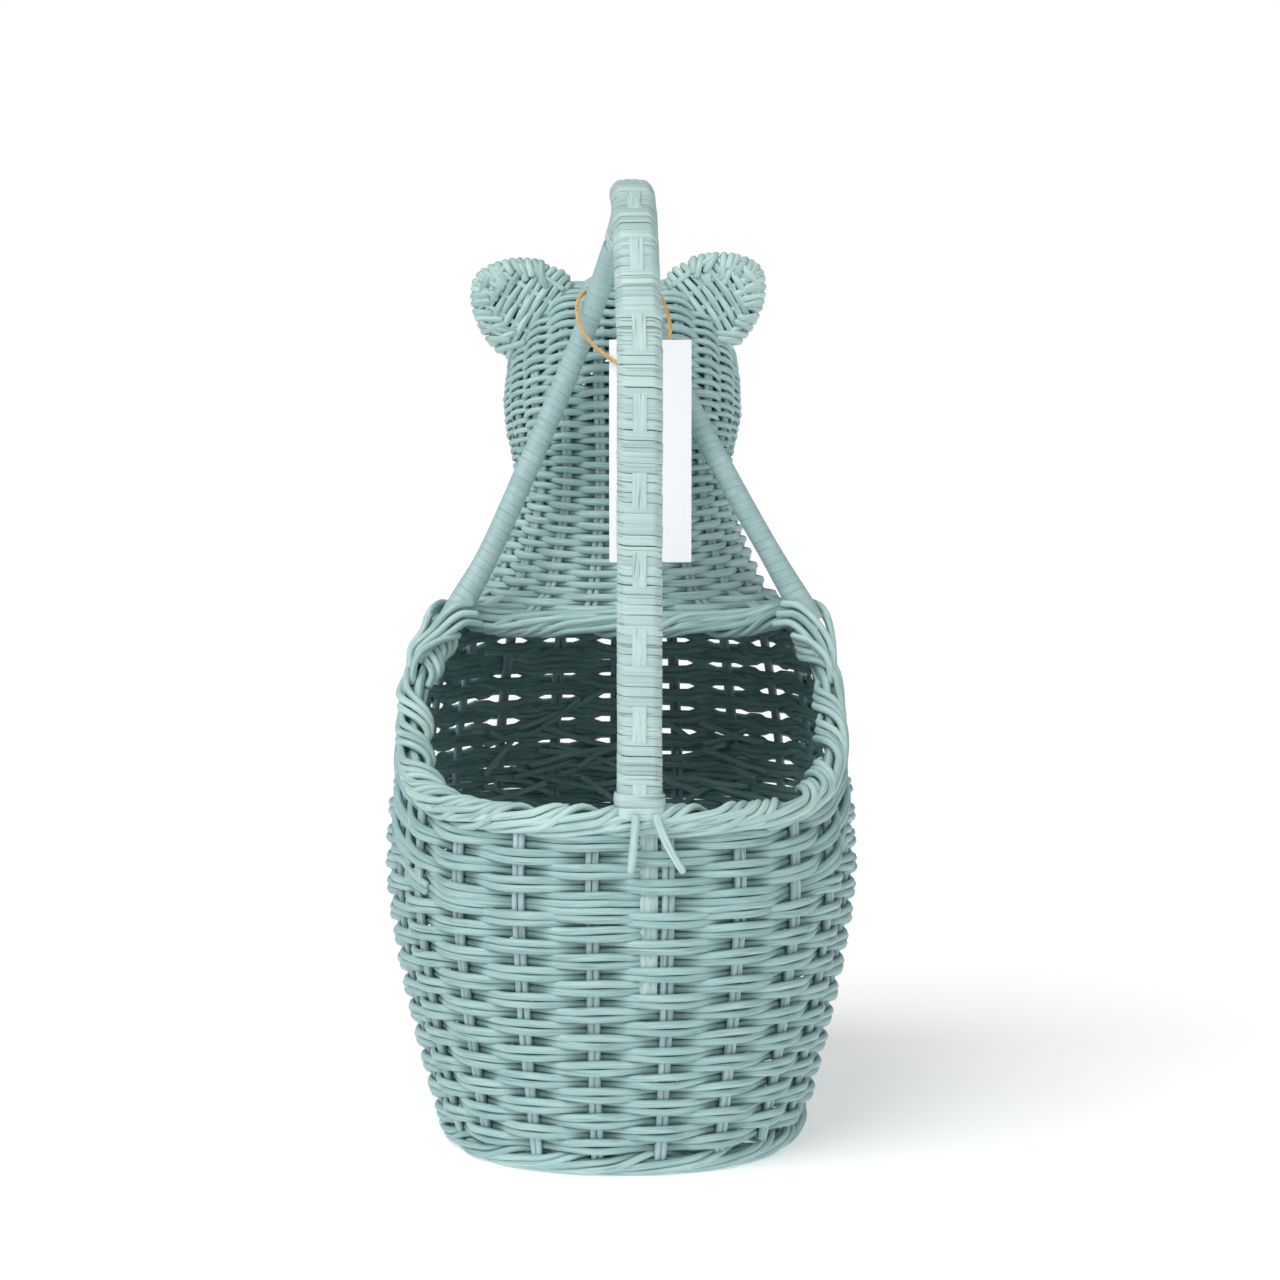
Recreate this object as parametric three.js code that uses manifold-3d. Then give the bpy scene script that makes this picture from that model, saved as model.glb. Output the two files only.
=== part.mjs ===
// A woven rattan basket shaped like a sitting animal, in millimetres, +Z up.
// The tail points to -Y and the head to +Y. The origin is on the ground below the middle of the body.

import * as THREE from 'three';
import { mergeVertices } from 'three/addons/utils/BufferGeometryUtils.js';
import Module from 'manifold-3d';

const wasm = await Module();
wasm.setup();

// Clearances: between pieces that touch, and between the stakes and the weaving round them
const seatGap = 0.3;
const layerGap = 0.4;

// Strands
const weaverDiameter = 2.7;
const stakeThickness = 2.5;
const stakePairWidth = 5.2;
const bodyStakes = 25;
const headStakes = 13;
const stakeShift = 18.5;

// Body: half width (X) and half length (Y) of its oval at the base, the belly and the shoulders
const baseHalfWidth = 75;
const baseHalfLength = 107;
const bellyHalfWidth = 96;
const bellyHalfLength = 128;
const shoulderHalfWidth = 81;
const shoulderHalfLength = 108;
const bellyHeight = 104;
const shoulderHeight = 204;
const tailHeight = 131;
const ovalExponent = 2.4;
const flareExponent = 1.4;
const scoopExponent = 2.6;
const joinBehindWidest = 1.5;

// Borders: the plaited rim, the edge below the neck, the foot, and the base inside the foot
const rimHalfWidth = 5;
const rimHalfHeight = 5.5;
const neckBorderHalfHeight = 4.5;
const neckEdgeDip = 1;
const neckBackBulge = 3;
const footHeight = 9;
const footHalfWidth = 5.2;
const baseThickness = 5;
const baseLift = 2.5;

// Head: rings from the neck to the muzzle, each by its front and back point (Y, Z) and half width
const headRings = [
  { front: [99, 215], back: [-1, 215], wide: 62 },
  { front: [91, 232], back: [5, 232], wide: 54.5 },
  { front: [85, 258], back: [9, 265], wide: 47.5 },
  { front: [86.5, 272], back: [7.5, 305], wide: 51.6 },
  { front: [90, 276], back: [28.5, 341], wide: 50 },
  { front: [93, 278.5], back: [60, 348], wide: 43 },
  { front: [96, 281], back: [85, 334], wide: 31 },
  { front: [100, 285], back: [101, 315], wide: 19 },
];
const muzzleTip = { y: 106, z: 299 };
const headExponent = 2.2;

// Ears: the middle and half length of the seam on the head, and how far the lobe stands out
const ears = [
  { name: 'ear_left', side: -1, out: 41, up: 332, half: 23, reach: 24 },
  { name: 'ear_right', side: 1, out: 33, up: 334, half: 22, reach: 25 },
];
const earSeamLean = 45;
const earBack = 42;
const earHalfThickness = 9;
const earExponent = 2.6;

// Handle: two rods side by side up from the tail, over an arch, and forking to the shoulders
const rodDiameter = 7.4;
const pairGap = 0.4;
const legOffset = 7.2;
const apexOffset = 4;
const apexHeight = 371;
const forkTopBehind = 1.57;
const forkFootBehind = 8.5;
const forkFootAboveShoulder = 7;
// Knots of the fork: share of the way up from its feet to the apex, and the X of each rod
const forkKnots = [
  { climb: 0.8125, left: -7.7, right: 7.2 },
  { climb: 0.6125, left: -19.8, right: 18.5 },
  { climb: 0.30625, left: -40.8, right: 44 },
  { climb: 0.1125, left: -54.9, right: 61.5 },
  { climb: 0, left: -65, right: 72 },
];
const tongueThickness = 1.5;
const tongueWidth = 7;
const tailTongueRows = [2.5, 3, 4, 5];
const shoulderTongueRows = [5.25, 5, 4];
const peelThickness = 0.7;
const windingGap = 0.5;
const legTurns = 20;
const forkTurns = 24;
const forkWrapAboveFoot = 5;
const partingSpacing = 9.6;
const forkSpacing = 10.9;
const collarHeight = 9;
const collarThickness = 1;
const stripWidth = 5.2;
const stripThickness = 0.8;
const tieDiameter = 2.6;
const tieLength = 24;
const tieSpread = [-2, 9];

// Hang tag and its twine
const tagWidth = 33;
const tagHeight = 89;
const tagThickness = 0.6;
const tagTop = 317;
const tagMiddle = 11.5;
const tagBehind = 15;
const tagHoleDrop = 14;
const tagHoleDiameter = 4;
const twineDiameter = 1.6;

// The twine's route, chosen by hand: from the front of the tag's hole, round both rods, to its back
const twinePoints = [
  [11.5, -12.9, 302.8], [11.5, -15.0, 303.0], [9.7, -16.9, 303.3], [5.0, -17.0, 304.4],
  [-2.0, -17.0, 308.0], [-10.6, -16.4, 314.2], [-15.7, -15.2, 320.6], [-17.9, -12.2, 328.0],
  [-17.0, -7.0, 334.2], [-13.0, -2.0, 337.6], [-6.0, 0.2, 339.2], [2.0, 0.4, 339.6],
  [9.5, -0.4, 338.6], [14.8, -3.4, 335.6], [18.0, -9.4, 329.4], [19.4, -13.2, 322.4],
  [18.9, -13.6, 315.4], [16.4, -13.6, 309.2], [13.3, -13.6, 305.8],
];

// The weave's relief on the outer faces: its rows, and how deep they sink between the raised ones
const weaveRows = 24;
const weaveDepth = 1.9;
const headWeaveDepth = 1.1;

// How finely the solids are divided
const wallRows = 5;
const rodSides = 8;
const ringSides = 8;
const legTurnSteps = 8;
const forkTurnSteps = 8;

const wallThickness = 2 * weaverDiameter + stakeThickness + 2 * layerGap;
const wallBottom = footHeight + seatGap;
const stakeOuterInset = weaverDiameter + layerGap;
const stakeInnerInset = stakeOuterInset + stakeThickness;
const rodRadius = rodDiameter / 2;

const rattan = new THREE.Color(0.62, 0.78, 0.75);
const rattanDeep = new THREE.Color(0.5, 0.68, 0.66);
const card = new THREE.Color(0.93, 0.93, 0.95);
const jute = new THREE.Color(0.78, 0.57, 0.3);

const basket = new THREE.Group();

function add(name, geometry, color, roughness = 0.6) {
  const material = new THREE.MeshStandardMaterial({ color, roughness, metalness: 0 });
  const mesh = new THREE.Mesh(geometry, material);
  mesh.name = name;
  basket.add(mesh);
  return mesh;
}

// One closed surface through rings of equally many points. It joins end to end when looped, and
// otherwise each end closes on a given pole or on its ring's middle. Each four-cornered cell folds
// along its shorter diagonal, so that the faces of pieces lying in layers stay parallel.
function ringSolid(rings, { looped = false, startPole = null, endPole = null } = {}) {
  const count = rings[0].length;
  const points = rings.flat();
  const triangles = [];
  const last = looped ? rings.length : rings.length - 1;
  for (let i = 0; i < last; i++) {
    const near = i * count;
    const far = ((i + 1) % rings.length) * count;
    for (let j = 0; j < count; j++) {
      const k = (j + 1) % count;
      const [a, b, c, d] = [near + j, near + k, far + k, far + j];
      const alongFirst = points[a].distanceTo(points[c]) < points[b].distanceTo(points[d]);
      if (alongFirst) triangles.push(a, d, c, a, c, b);
      else triangles.push(a, d, b, b, d, c);
    }
  }
  if (!looped) {
    const lastStart = (rings.length - 1) * count;
    closeEnd(points, triangles, 0, rings[0], startPole, false);
    closeEnd(points, triangles, lastStart, rings[rings.length - 1], endPole, true);
  }
  return orientedGeometry(points, triangles);
}

function middleOf(points) {
  return points.reduce((sum, p) => sum.add(p), new THREE.Vector3()).divideScalar(points.length);
}

function closeEnd(points, triangles, start, ring, pole, atEnd) {
  const apex = points.push(pole ?? middleOf(ring)) - 1;
  for (let j = 0; j < ring.length; j++) {
    const k = (j + 1) % ring.length;
    if (atEnd) triangles.push(start + j, apex, start + k);
    else triangles.push(start + j, start + k, apex);
  }
}

// A geometry whose faces point out: the order of its corners turns round if its volume is negative
function orientedGeometry(points, triangles) {
  let volume = 0;
  for (let i = 0; i < triangles.length; i += 3) {
    const [a, b, c] = [points[triangles[i]], points[triangles[i + 1]], points[triangles[i + 2]]];
    volume += a.dot(new THREE.Vector3().crossVectors(b, c));
  }
  const index = volume < 0 ? triangles.reverse() : triangles;
  const geometry = new THREE.BufferGeometry();
  const numbers = points.flatMap((p) => p.toArray());
  geometry.setAttribute('position', new THREE.Float32BufferAttribute(numbers, 3));
  geometry.setIndex(index);
  return geometry;
}

function toManifold(geometry) {
  const bare = geometry.clone();
  bare.deleteAttribute('normal');
  bare.deleteAttribute('uv');
  const merged = mergeVertices(bare, 1e-4);
  return new wasm.Manifold(new wasm.Mesh({
    numProp: 3,
    vertProperties: new Float32Array(merged.attributes.position.array),
    triVerts: new Uint32Array(merged.index.array),
  }));
}

function toGeometry(manifold) {
  const mesh = manifold.getMesh();
  const geometry = new THREE.BufferGeometry();
  geometry.setAttribute('position', new THREE.Float32BufferAttribute(mesh.vertProperties, 3));
  geometry.setIndex(Array.from(mesh.triVerts));
  return geometry;
}

// The largest piece of a cut solid
function largestPiece(manifold) {
  return manifold.decompose().reduce((best, piece) => (piece.volume() > best.volume() ? piece : best));
}

// Half size of the body's oval at a height, between its values at the base, belly and shoulders
function bodyHalf(z, base, belly, shoulder) {
  if (z < bellyHeight) {
    return belly - (belly - base) * ((bellyHeight - z) / bellyHeight) ** flareExponent;
  }
  return belly - (belly - shoulder) * ((z - bellyHeight) / (shoulderHeight - bellyHeight)) ** 2;
}

// A point of the body's wall at an angle round Z and a height, moved in by an inset
function bodyPoint(angle, z, inset) {
  const wide = bodyHalf(z, baseHalfWidth, bellyHalfWidth, shoulderHalfWidth) - inset;
  const long = bodyHalf(z, baseHalfLength, bellyHalfLength, shoulderHalfLength) - inset;
  const x = Math.cos(angle);
  const y = Math.sin(angle);
  const n = ovalExponent;
  const radius = (Math.abs(x / wide) ** n + Math.abs(y / long) ** n) ** (-1 / n);
  return new THREE.Vector3(radius * x, radius * y, z);
}

// Angles at equal steps of arc round the belly, from the middle of the tail
const tailAngle = -Math.PI / 2;
const arcTable = [{ angle: tailAngle, arc: 0 }];
const arcSteps = 720;
for (let i = 1; i <= arcSteps; i++) {
  const angle = tailAngle + (i / arcSteps) * 2 * Math.PI;
  const before = arcTable[i - 1];
  const step = bodyPoint(angle, bellyHeight, 0).distanceTo(bodyPoint(before.angle, bellyHeight, 0));
  arcTable.push({ angle, arc: before.arc + step });
}
const bellyArc = arcTable[arcSteps].arc;

function angleAtArc(arc) {
  const turns = Math.floor(arc / bellyArc);
  const rest = arc - turns * bellyArc;
  const i = Math.max(1, arcTable.findIndex((entry) => entry.arc >= rest));
  const [low, high] = [arcTable[i - 1], arcTable[i]];
  const share = (rest - low.arc) / (high.arc - low.arc);
  return low.angle + share * (high.angle - low.angle) + turns * 2 * Math.PI;
}

function arcAtAngle(angle) {
  const share = (angle - tailAngle) / (2 * Math.PI);
  const i = Math.min(arcSteps - 1, Math.floor(share * arcSteps));
  const [low, high] = [arcTable[i], arcTable[i + 1]];
  return low.arc + ((angle - low.angle) / (high.angle - low.angle)) * (high.arc - low.arc);
}

// Where the rim meets the neck on each side, as an angle and as an arc from the tail
const joinAngle = Math.asin(-joinBehindWidest / shoulderHalfWidth);
const rightJoinArc = arcAtAngle(joinAngle);
const leftJoinArc = bellyArc - rightJoinArc;

// Arcs at which the rods' flat ends slip into the wall: on the right shoulder and on the left
const shoulderTongueArcs = { right: arcAtAngle(0) - forkFootBehind };
shoulderTongueArcs.left = bellyArc - shoulderTongueArcs.right;

// Height of the wall's top edge: low at the tail, rising late to the shoulders, level in front
function wallTop(angle) {
  const joinY = bodyPoint(joinAngle, bellyHeight, 0).y;
  const y = bodyPoint(angle, bellyHeight, 0).y;
  const share = Math.min(1, (y + bellyHalfLength) / (joinY + bellyHalfLength));
  return tailHeight + (shoulderHeight - tailHeight) * share ** scoopExponent;
}

const stakeArcs = [];
for (let i = 0; i < bodyStakes; i++) stakeArcs.push(stakeShift + (i / bodyStakes) * bellyArc);

// The wall's upright edges: both edges of every stake, with its number counted from the front, and
// the two joins and the tongues, without a number
const wallEdges = stakeArcs
  .flatMap((arc, i) => [-1, 1].map((side) => ({
    arc: (arc + side * stakePairWidth / 2) % bellyArc,
    stake: (i + Math.floor(bodyStakes / 2)) % bodyStakes,
  })))
  .concat([rightJoinArc, leftJoinArc, shoulderTongueArcs.right, shoulderTongueArcs.left]
    .map((arc) => ({ arc, stake: null })))
  .sort((a, b) => a.arc - b.arc);
const wallAngles = wallEdges.map(({ arc }) => angleAtArc(arc));

function rowHeight(angle, row) {
  return wallBottom + (wallTop(angle) - wallBottom) * (row / wallRows);
}

// How far a row of weaving sinks: not at all over every second stake, fully over the others, and
// the next row the other way round
function weaveInset(stake, line, depth) {
  if (stake === null) return depth / 2;
  return (stake + line) % 2 === 0 ? 0 : depth;
}

// One skin of the wall, between two insets, its outer face sinking with the rows of the weave
function bodySkin(outerInset, innerInset, outerRows, depth) {
  const sections = wallAngles.map((angle, edge) => {
    const outer = [...Array(outerRows + 1).keys()].map((line) => {
      const inRows = line > 0 && line < outerRows;
      const sunk = inRows ? weaveInset(wallEdges[edge].stake, line, depth) : 0;
      return bodyPoint(angle, rowHeight(angle, wallRows * line / outerRows), outerInset + sunk);
    });
    const rows = [...Array(wallRows + 1).keys()].reverse();
    return outer.concat(rows.map((row) => bodyPoint(angle, rowHeight(angle, row), innerInset)));
  });
  return ringSolid(sections, { looped: true });
}

const innerSkinInset = wallThickness - weaverDiameter;
add('body_weavers_outside', bodySkin(0, weaverDiameter, weaveRows, weaveDepth), rattan);
add('body_weavers_inside', bodySkin(innerSkinInset, wallThickness, wallRows, 0), rattanDeep);

stakeArcs.forEach((arc, number) => {
  const edges = [arc - stakePairWidth / 2, arc + stakePairWidth / 2].map((a) => angleAtArc(a));
  const rings = [...Array(wallRows + 1).keys()].map((row) => [
    bodyPoint(edges[0], rowHeight(edges[0], row), stakeOuterInset),
    bodyPoint(edges[1], rowHeight(edges[1], row), stakeOuterInset),
    bodyPoint(edges[1], rowHeight(edges[1], row), stakeInnerInset),
    bodyPoint(edges[0], rowHeight(edges[0], row), stakeInnerInset),
  ]);
  add(`body_stake_${String(number + 1).padStart(2, '0')}`, ringSolid(rings), rattanDeep);
});

// Foot: a plaited ring below the wall, flat underneath
const footProfile = [
  [-0.75, 0], [0.75, 0], [1, 0.35], [1, 0.7], [0.6, 1], [-0.6, 1], [-1, 0.7], [-1, 0.35],
];
const footSections = wallAngles.map((angle) => footProfile.map(([across, up]) => {
  const inset = wallThickness / 2 - across * footHalfWidth;
  return bodyPoint(angle, 0, inset).setZ(up * footHeight);
}));
add('foot_border', ringSolid(footSections, { looped: true }), rattan);

const baseInset = wallThickness / 2 + footHalfWidth + seatGap;
const baseRings = [baseLift, baseLift + baseThickness].map((z) => (
  wallAngles.map((angle) => bodyPoint(angle, 0, baseInset).setZ(z))
));
add('base_mat', ringSolid(baseRings), rattanDeep);

// Sections of a plaited border along an edge, standing off the edge by its half height. Each edge
// point gives the edge, and a point beyond it on the same wall that shows which way is up the wall.
function borderSections(edge, halfWidth, halfHeight) {
  return edge.map(({ at, beyond, along }) => {
    const up = beyond.clone().sub(at);
    up.addScaledVector(along, -up.dot(along)).normalize();
    const across = new THREE.Vector3().crossVectors(along, up).normalize();
    const middle = at.clone().addScaledVector(up, seatGap + halfHeight);
    return [...Array(ringSides).keys()].map((side) => {
      const turn = (side / ringSides) * 2 * Math.PI;
      return middle.clone()
        .addScaledVector(across, halfWidth * Math.cos(turn))
        .addScaledVector(up, halfHeight * Math.sin(turn));
    });
  });
}

function withTangents(edge) {
  return edge.map((entry, i) => {
    const before = edge[Math.max(0, i - 1)].at;
    const after = edge[Math.min(edge.length - 1, i + 1)].at;
    return { ...entry, along: after.clone().sub(before).normalize() };
  });
}

const rimAngles = wallAngles
  .filter((angle) => angle >= wallAngles[0] && arcAtAngle(angle) >= leftJoinArc - 1e-6)
  .map((angle) => angle - 2 * Math.PI)
  .concat(wallAngles.filter((angle) => arcAtAngle(angle) <= rightJoinArc + 1e-6));
const rimEdge = withTangents(rimAngles.map((angle) => {
  const z = wallTop(angle);
  return { at: bodyPoint(angle, z, wallThickness / 2), beyond: bodyPoint(angle, z + 1, wallThickness / 2) };
}));
const rimSections = borderSections(rimEdge, rimHalfWidth, rimHalfHeight);

// Head: its rings, with the first one matching the body's top edge in front and straight behind
const frontShare = 0.687;
const cornerAngle = -Math.PI * (frontShare - 0.5);

const neckDipShare = 1 - (wallThickness + seatGap) / shoulderHalfWidth;
const neckBackY = bodyPoint(joinAngle, shoulderHeight, 0).y;

function baseRingPoint(share, inset) {
  if (share <= frontShare) {
    const [start, end] = [rightJoinArc + inset, leftJoinArc - inset];
    const arc = start + (share / frontShare) * (end - start);
    return bodyPoint(angleAtArc(arc), shoulderHeight, inset).setZ(shoulderHeight + seatGap);
  }
  const across = 2 * (share - frontShare) / (1 - frontShare) - 1;
  const x = (shoulderHalfWidth - inset) * across;
  const y = neckBackY + inset - neckBackBulge * (1 - across ** 2);
  const dip = neckEdgeDip * Math.max(0, 1 - (across / neckDipShare) ** 2);
  return new THREE.Vector3(x, y, shoulderHeight + seatGap - dip);
}

const ringCurves = {
  front: new THREE.CatmullRomCurve3(headRings.map((r) => new THREE.Vector3(0, ...r.front))),
  back: new THREE.CatmullRomCurve3(headRings.map((r) => new THREE.Vector3(0, ...r.back))),
  wide: new THREE.CatmullRomCurve3(headRings.map((r, i) => new THREE.Vector3(r.wide, i, 0))),
};

// A point of an upper ring: level runs over the rings of the list, from 0 at the first
function upperRingPoint(share, level, inset) {
  const along = level / (headRings.length - 1);
  const front = ringCurves.front.getPoint(along);
  const back = ringCurves.back.getPoint(along);
  const halfWide = ringCurves.wide.getPoint(along).x - inset;
  const halfLong = front.distanceTo(back) / 2 - inset;
  const forward = front.clone().sub(back).normalize();
  const turn = cornerAngle + share * 2 * Math.PI;
  const [c, s] = [Math.cos(turn), Math.sin(turn)];
  const power = 2 / headExponent;
  return front.clone().add(back).multiplyScalar(0.5)
    .addScaledVector(forward, halfLong * Math.sign(s) * Math.abs(s) ** power)
    .setX(halfWide * Math.sign(c) * Math.abs(c) ** power);
}

// A point of the head's wall: level 0 is the lowest ring and 1 the first of the list
function headPoint(share, level, inset) {
  if (level >= 1) return upperRingPoint(share, level - 1, inset);
  return baseRingPoint(share, inset).lerp(upperRingPoint(share, 0, inset), level);
}

const headLevels = [0, 0.5, 1, 2, 3, 3.7, 4.4, 5, 5.6, 6.3, 7, 8];
const stakeHalfShare = 0.5 * (stakePairWidth / (2 * Math.PI * headRings[1].wide));
const headStakeShares = [...Array(headStakes).keys()].map((i) => (i + 0.5) / headStakes);
const headEdges = headStakeShares
  .flatMap((share, stake) => [-1, 1].map((side) => ({ share: share + side * stakeHalfShare, stake })))
  .concat([0, frontShare, (1 + frontShare) / 2].map((share) => ({ share, stake: null })))
  .concat([-1, 1].map((side) => ({
    share: frontShare + (1 - frontShare) * (1 + side * neckDipShare) / 2,
    stake: null,
  })))
  .sort((a, b) => a.share - b.share);

function headRing(level, inset) {
  return headEdges.map(({ share }) => headPoint(share, level, inset));
}

// Levels of the outer face: those of the rings, and one more between each two above the neck
const headWeaveLevels = headLevels.flatMap((level, i) => (
  level >= 1 && level < 7 ? [level, (level + headLevels[i + 1]) / 2] : [level]
));

function headWeaveRing(level, line) {
  const last = headWeaveLevels.length - 1;
  return headEdges.map(({ share, stake }) => {
    const inRows = line > 0 && line < last;
    return headPoint(share, level, inRows ? weaveInset(stake, line, headWeaveDepth) : 0);
  });
}

function muzzlePole(inset) {
  return new THREE.Vector3(0, muzzleTip.y - inset, muzzleTip.z);
}

// One skin of the head's wall, open below and closed at the muzzle
function headSkin(outer, outerInset, innerInset) {
  const inner = headLevels.toReversed().map((level) => headRing(level, innerInset));
  return ringSolid(inner.concat(outer), {
    startPole: muzzlePole(innerInset),
    endPole: muzzlePole(outerInset),
  });
}

const headOuterFace = headWeaveLevels.map(headWeaveRing);
const headInnerFace = headLevels.map((level) => headRing(level, innerSkinInset));
add('head_weavers_outside', headSkin(headOuterFace, 0, weaverDiameter), rattan);
add('head_weavers_inside', headSkin(headInnerFace, innerSkinInset, wallThickness), rattanDeep);

headStakeShares.forEach((share, number) => {
  const edges = [share - stakeHalfShare, share + stakeHalfShare];
  const rings = headLevels.slice(0, -1).map((level) => [
    headPoint(edges[0], level, stakeOuterInset),
    headPoint(edges[1], level, stakeOuterInset),
    headPoint(edges[1], level, stakeInnerInset),
    headPoint(edges[0], level, stakeInnerInset),
  ]);
  add(`head_stake_${String(number + 1).padStart(2, '0')}`, ringSolid(rings), rattanDeep);
});

// The edge below the back of the neck, from shoulder to shoulder
const neckEdgeSteps = 10;
const neckEdgeInFrom = 0.06;
const neckEdge = withTangents([...Array(neckEdgeSteps + 1).keys()].map((i) => {
  const across = neckEdgeInFrom + (1 - 2 * neckEdgeInFrom) * (i / neckEdgeSteps);
  const share = frontShare + across * (1 - frontShare);
  const at = headPoint(share, 0, wallThickness / 2);
  return { at, beyond: at.clone().setZ(at.z - 1) };
}));
add('neck_border', ringSolid(borderSections(neckEdge, wallThickness / 2, neckBorderHalfHeight)), rattan);

// Ears: lobes that stand out from a slanting seam on the head, cut where they meet it
const headFill = toManifold(ringSolid(
  headWeaveLevels.map((level) => headRing(level, -seatGap)),
  { endPole: muzzlePole(-seatGap) },
));
const earRingSides = 12;
const earSteps = [-0.5, 0, 0.35, 0.65, 0.85, 0.96];
for (const ear of ears) {
  const lean = THREE.MathUtils.degToRad(earSeamLean);
  const along = new THREE.Vector3(ear.side * Math.sin(lean), 0, -Math.cos(lean));
  const outward = new THREE.Vector3(ear.side * Math.cos(lean), 0, Math.sin(lean));
  const seam = new THREE.Vector3(ear.side * ear.out, earBack, ear.up);
  const rings = earSteps.map((step) => {
    const left = (1 - Math.max(0, step) ** earExponent) ** (1 / earExponent);
    const middle = seam.clone().addScaledVector(outward, step * ear.reach);
    return [...Array(earRingSides).keys()].map((side) => {
      const turn = (side / earRingSides) * 2 * Math.PI;
      const p = middle.clone().addScaledVector(along, ear.half * left * Math.cos(turn));
      return p.add(new THREE.Vector3(0, earHalfThickness * left * Math.sin(turn), 0));
    });
  });
  const lobe = ringSolid(rings, { endPole: seam.clone().addScaledVector(outward, ear.reach) });
  add(ear.name, toGeometry(largestPiece(toManifold(lobe).subtract(headFill))), rattan);
}

// Handle: knots that both rods share, with an X for each rod
const rodSpacing = rodDiameter + pairGap;
const legY = bodyPoint(tailAngle, tailHeight, wallThickness / 2).y;
const rimTopAtTail = tailHeight + seatGap + 2 * rimHalfHeight;
const archRadius = (-forkTopBehind - legY) / 2;
const archCentreZ = apexHeight - archRadius;
const archCentreY = legY + archRadius;

function pairKnot(x, y, z, spacing = rodSpacing) {
  return { left: x - spacing / 2, right: x + spacing / 2, y, z };
}

const legFoot = rimTopAtTail + seatGap;
const legKnots = [legFoot, 190, 250, archCentreZ].map((z) => pairKnot(legOffset, legY, z));
const archKnots = [30, 60, 90, 118].map((degrees) => {
  const turn = THREE.MathUtils.degToRad(degrees);
  const x = legOffset + (apexOffset - legOffset) * Math.min(1, degrees / 90);
  const y = archCentreY - archRadius * Math.cos(turn);
  return pairKnot(x, y, archCentreZ + archRadius * Math.sin(turn));
});
const forkFootHeight = shoulderHeight + forkFootAboveShoulder;
const forkPath = forkKnots.map(({ climb, left, right }) => {
  const z = forkFootHeight + (apexHeight - forkFootHeight) * climb;
  const rise = Math.max(0, z - archCentreZ);
  const arch = archCentreY + Math.sqrt(archRadius ** 2 - rise ** 2);
  const down = Math.max(0, (archCentreZ - z) / (archCentreZ - forkFootHeight));
  return { left, right, z, y: arch + (-forkFootBehind - arch) * down ** 2 };
});
const handleKnots = [...legKnots, ...archKnots, ...forkPath];

function rodCurve(side) {
  return new THREE.CatmullRomCurve3(
    handleKnots.map((knot) => new THREE.Vector3(knot[side], knot.y, knot.z)),
    false,
    'centripetal',
  );
}

const rodCurves = { left: rodCurve('left'), right: rodCurve('right') };

// Unit vectors across a tangent: the first near the X axis, the second to the arch's outside
function acrossVectors(tangent) {
  const first = new THREE.Vector3(1, 0, 0);
  first.addScaledVector(tangent, -first.dot(tangent)).normalize();
  return [first, new THREE.Vector3().crossVectors(first, tangent).normalize()];
}

function ellipseRing(middle, first, second, halfFirst, halfSecond) {
  return [...Array(rodSides).keys()].map((side) => {
    const turn = ((side + 0.5) / rodSides) * 2 * Math.PI;
    return middle.clone()
      .addScaledVector(first, halfFirst * Math.cos(turn))
      .addScaledVector(second, halfSecond * Math.sin(turn));
  });
}

// Sections of a flat end between the two skins of the wall, at an arc from the tail's middle and
// at rows of the wall
function tongueRings(arc, rows, grow) {
  const [before, angle, after] = [arc - 1, arc, arc + 1].map(angleAtArc);
  return rows.map((row) => {
    const z = rowHeight(angle, row);
    const inWall = (turn) => bodyPoint(turn, z, wallThickness / 2);
    const middle = inWall(angle);
    const along = inWall(after).sub(inWall(before)).normalize();
    const through = new THREE.Vector3().crossVectors(along, zAxis);
    return ellipseRing(middle, along, through, tongueWidth / 2 + grow, tongueThickness / 2 + grow);
  });
}

const rodSteps = 34;
const zAxis = new THREE.Vector3(0, 0, 1);
const tailTongueArc = legOffset + rodSpacing / 2;

function rodSolid(side, grow = 0) {
  const curve = rodCurves[side];
  const rings = [...Array(rodSteps + 1).keys()].map((i) => {
    const [first, second] = acrossVectors(curve.getTangentAt(i / rodSteps));
    return ellipseRing(curve.getPointAt(i / rodSteps), first, second, rodRadius + grow, rodRadius + grow);
  });
  const tail = side === 'left' ? [] : tongueRings(tailTongueArc, tailTongueRows, grow);
  const shoulder = tongueRings(shoulderTongueArcs[side], shoulderTongueRows, grow);
  return ringSolid([
    ...tail.map((ring) => alignRing(ring, rings[0])),
    ...rings,
    ...shoulder.map((ring) => alignRing(ring, rings[rings.length - 1])),
  ]);
}

// The same ring, started and turned so that its points face those of another ring
function alignRing(ring, other) {
  const [from, to] = [middleOf(ring), middleOf(other)];
  const score = (points) => points.reduce((sum, p, i) => (
    sum + p.clone().sub(from).dot(other[i].clone().sub(to))
  ), 0);
  const turned = [ring, ring.toReversed()].flatMap((points) => (
    points.map((_, shift) => points.map((__, i) => points[(i + shift) % points.length]))
  ));
  return turned.reduce((best, points) => (score(points) > score(best) ? points : best));
}

for (const side of ['left', 'right']) add(`handle_rod_${side}`, rodSolid(side), rattanDeep);

// The rim is cut where the flat ends of the rods pass through it
const rimWhole = toManifold(ringSolid(rimSections));
const rodCuts = ['left', 'right'].map((side) => toManifold(rodSolid(side, seatGap)));
add('rim_border', toGeometry(largestPiece(rimWhole.subtract(rodCuts[0]).subtract(rodCuts[1]))), rattan);

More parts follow.
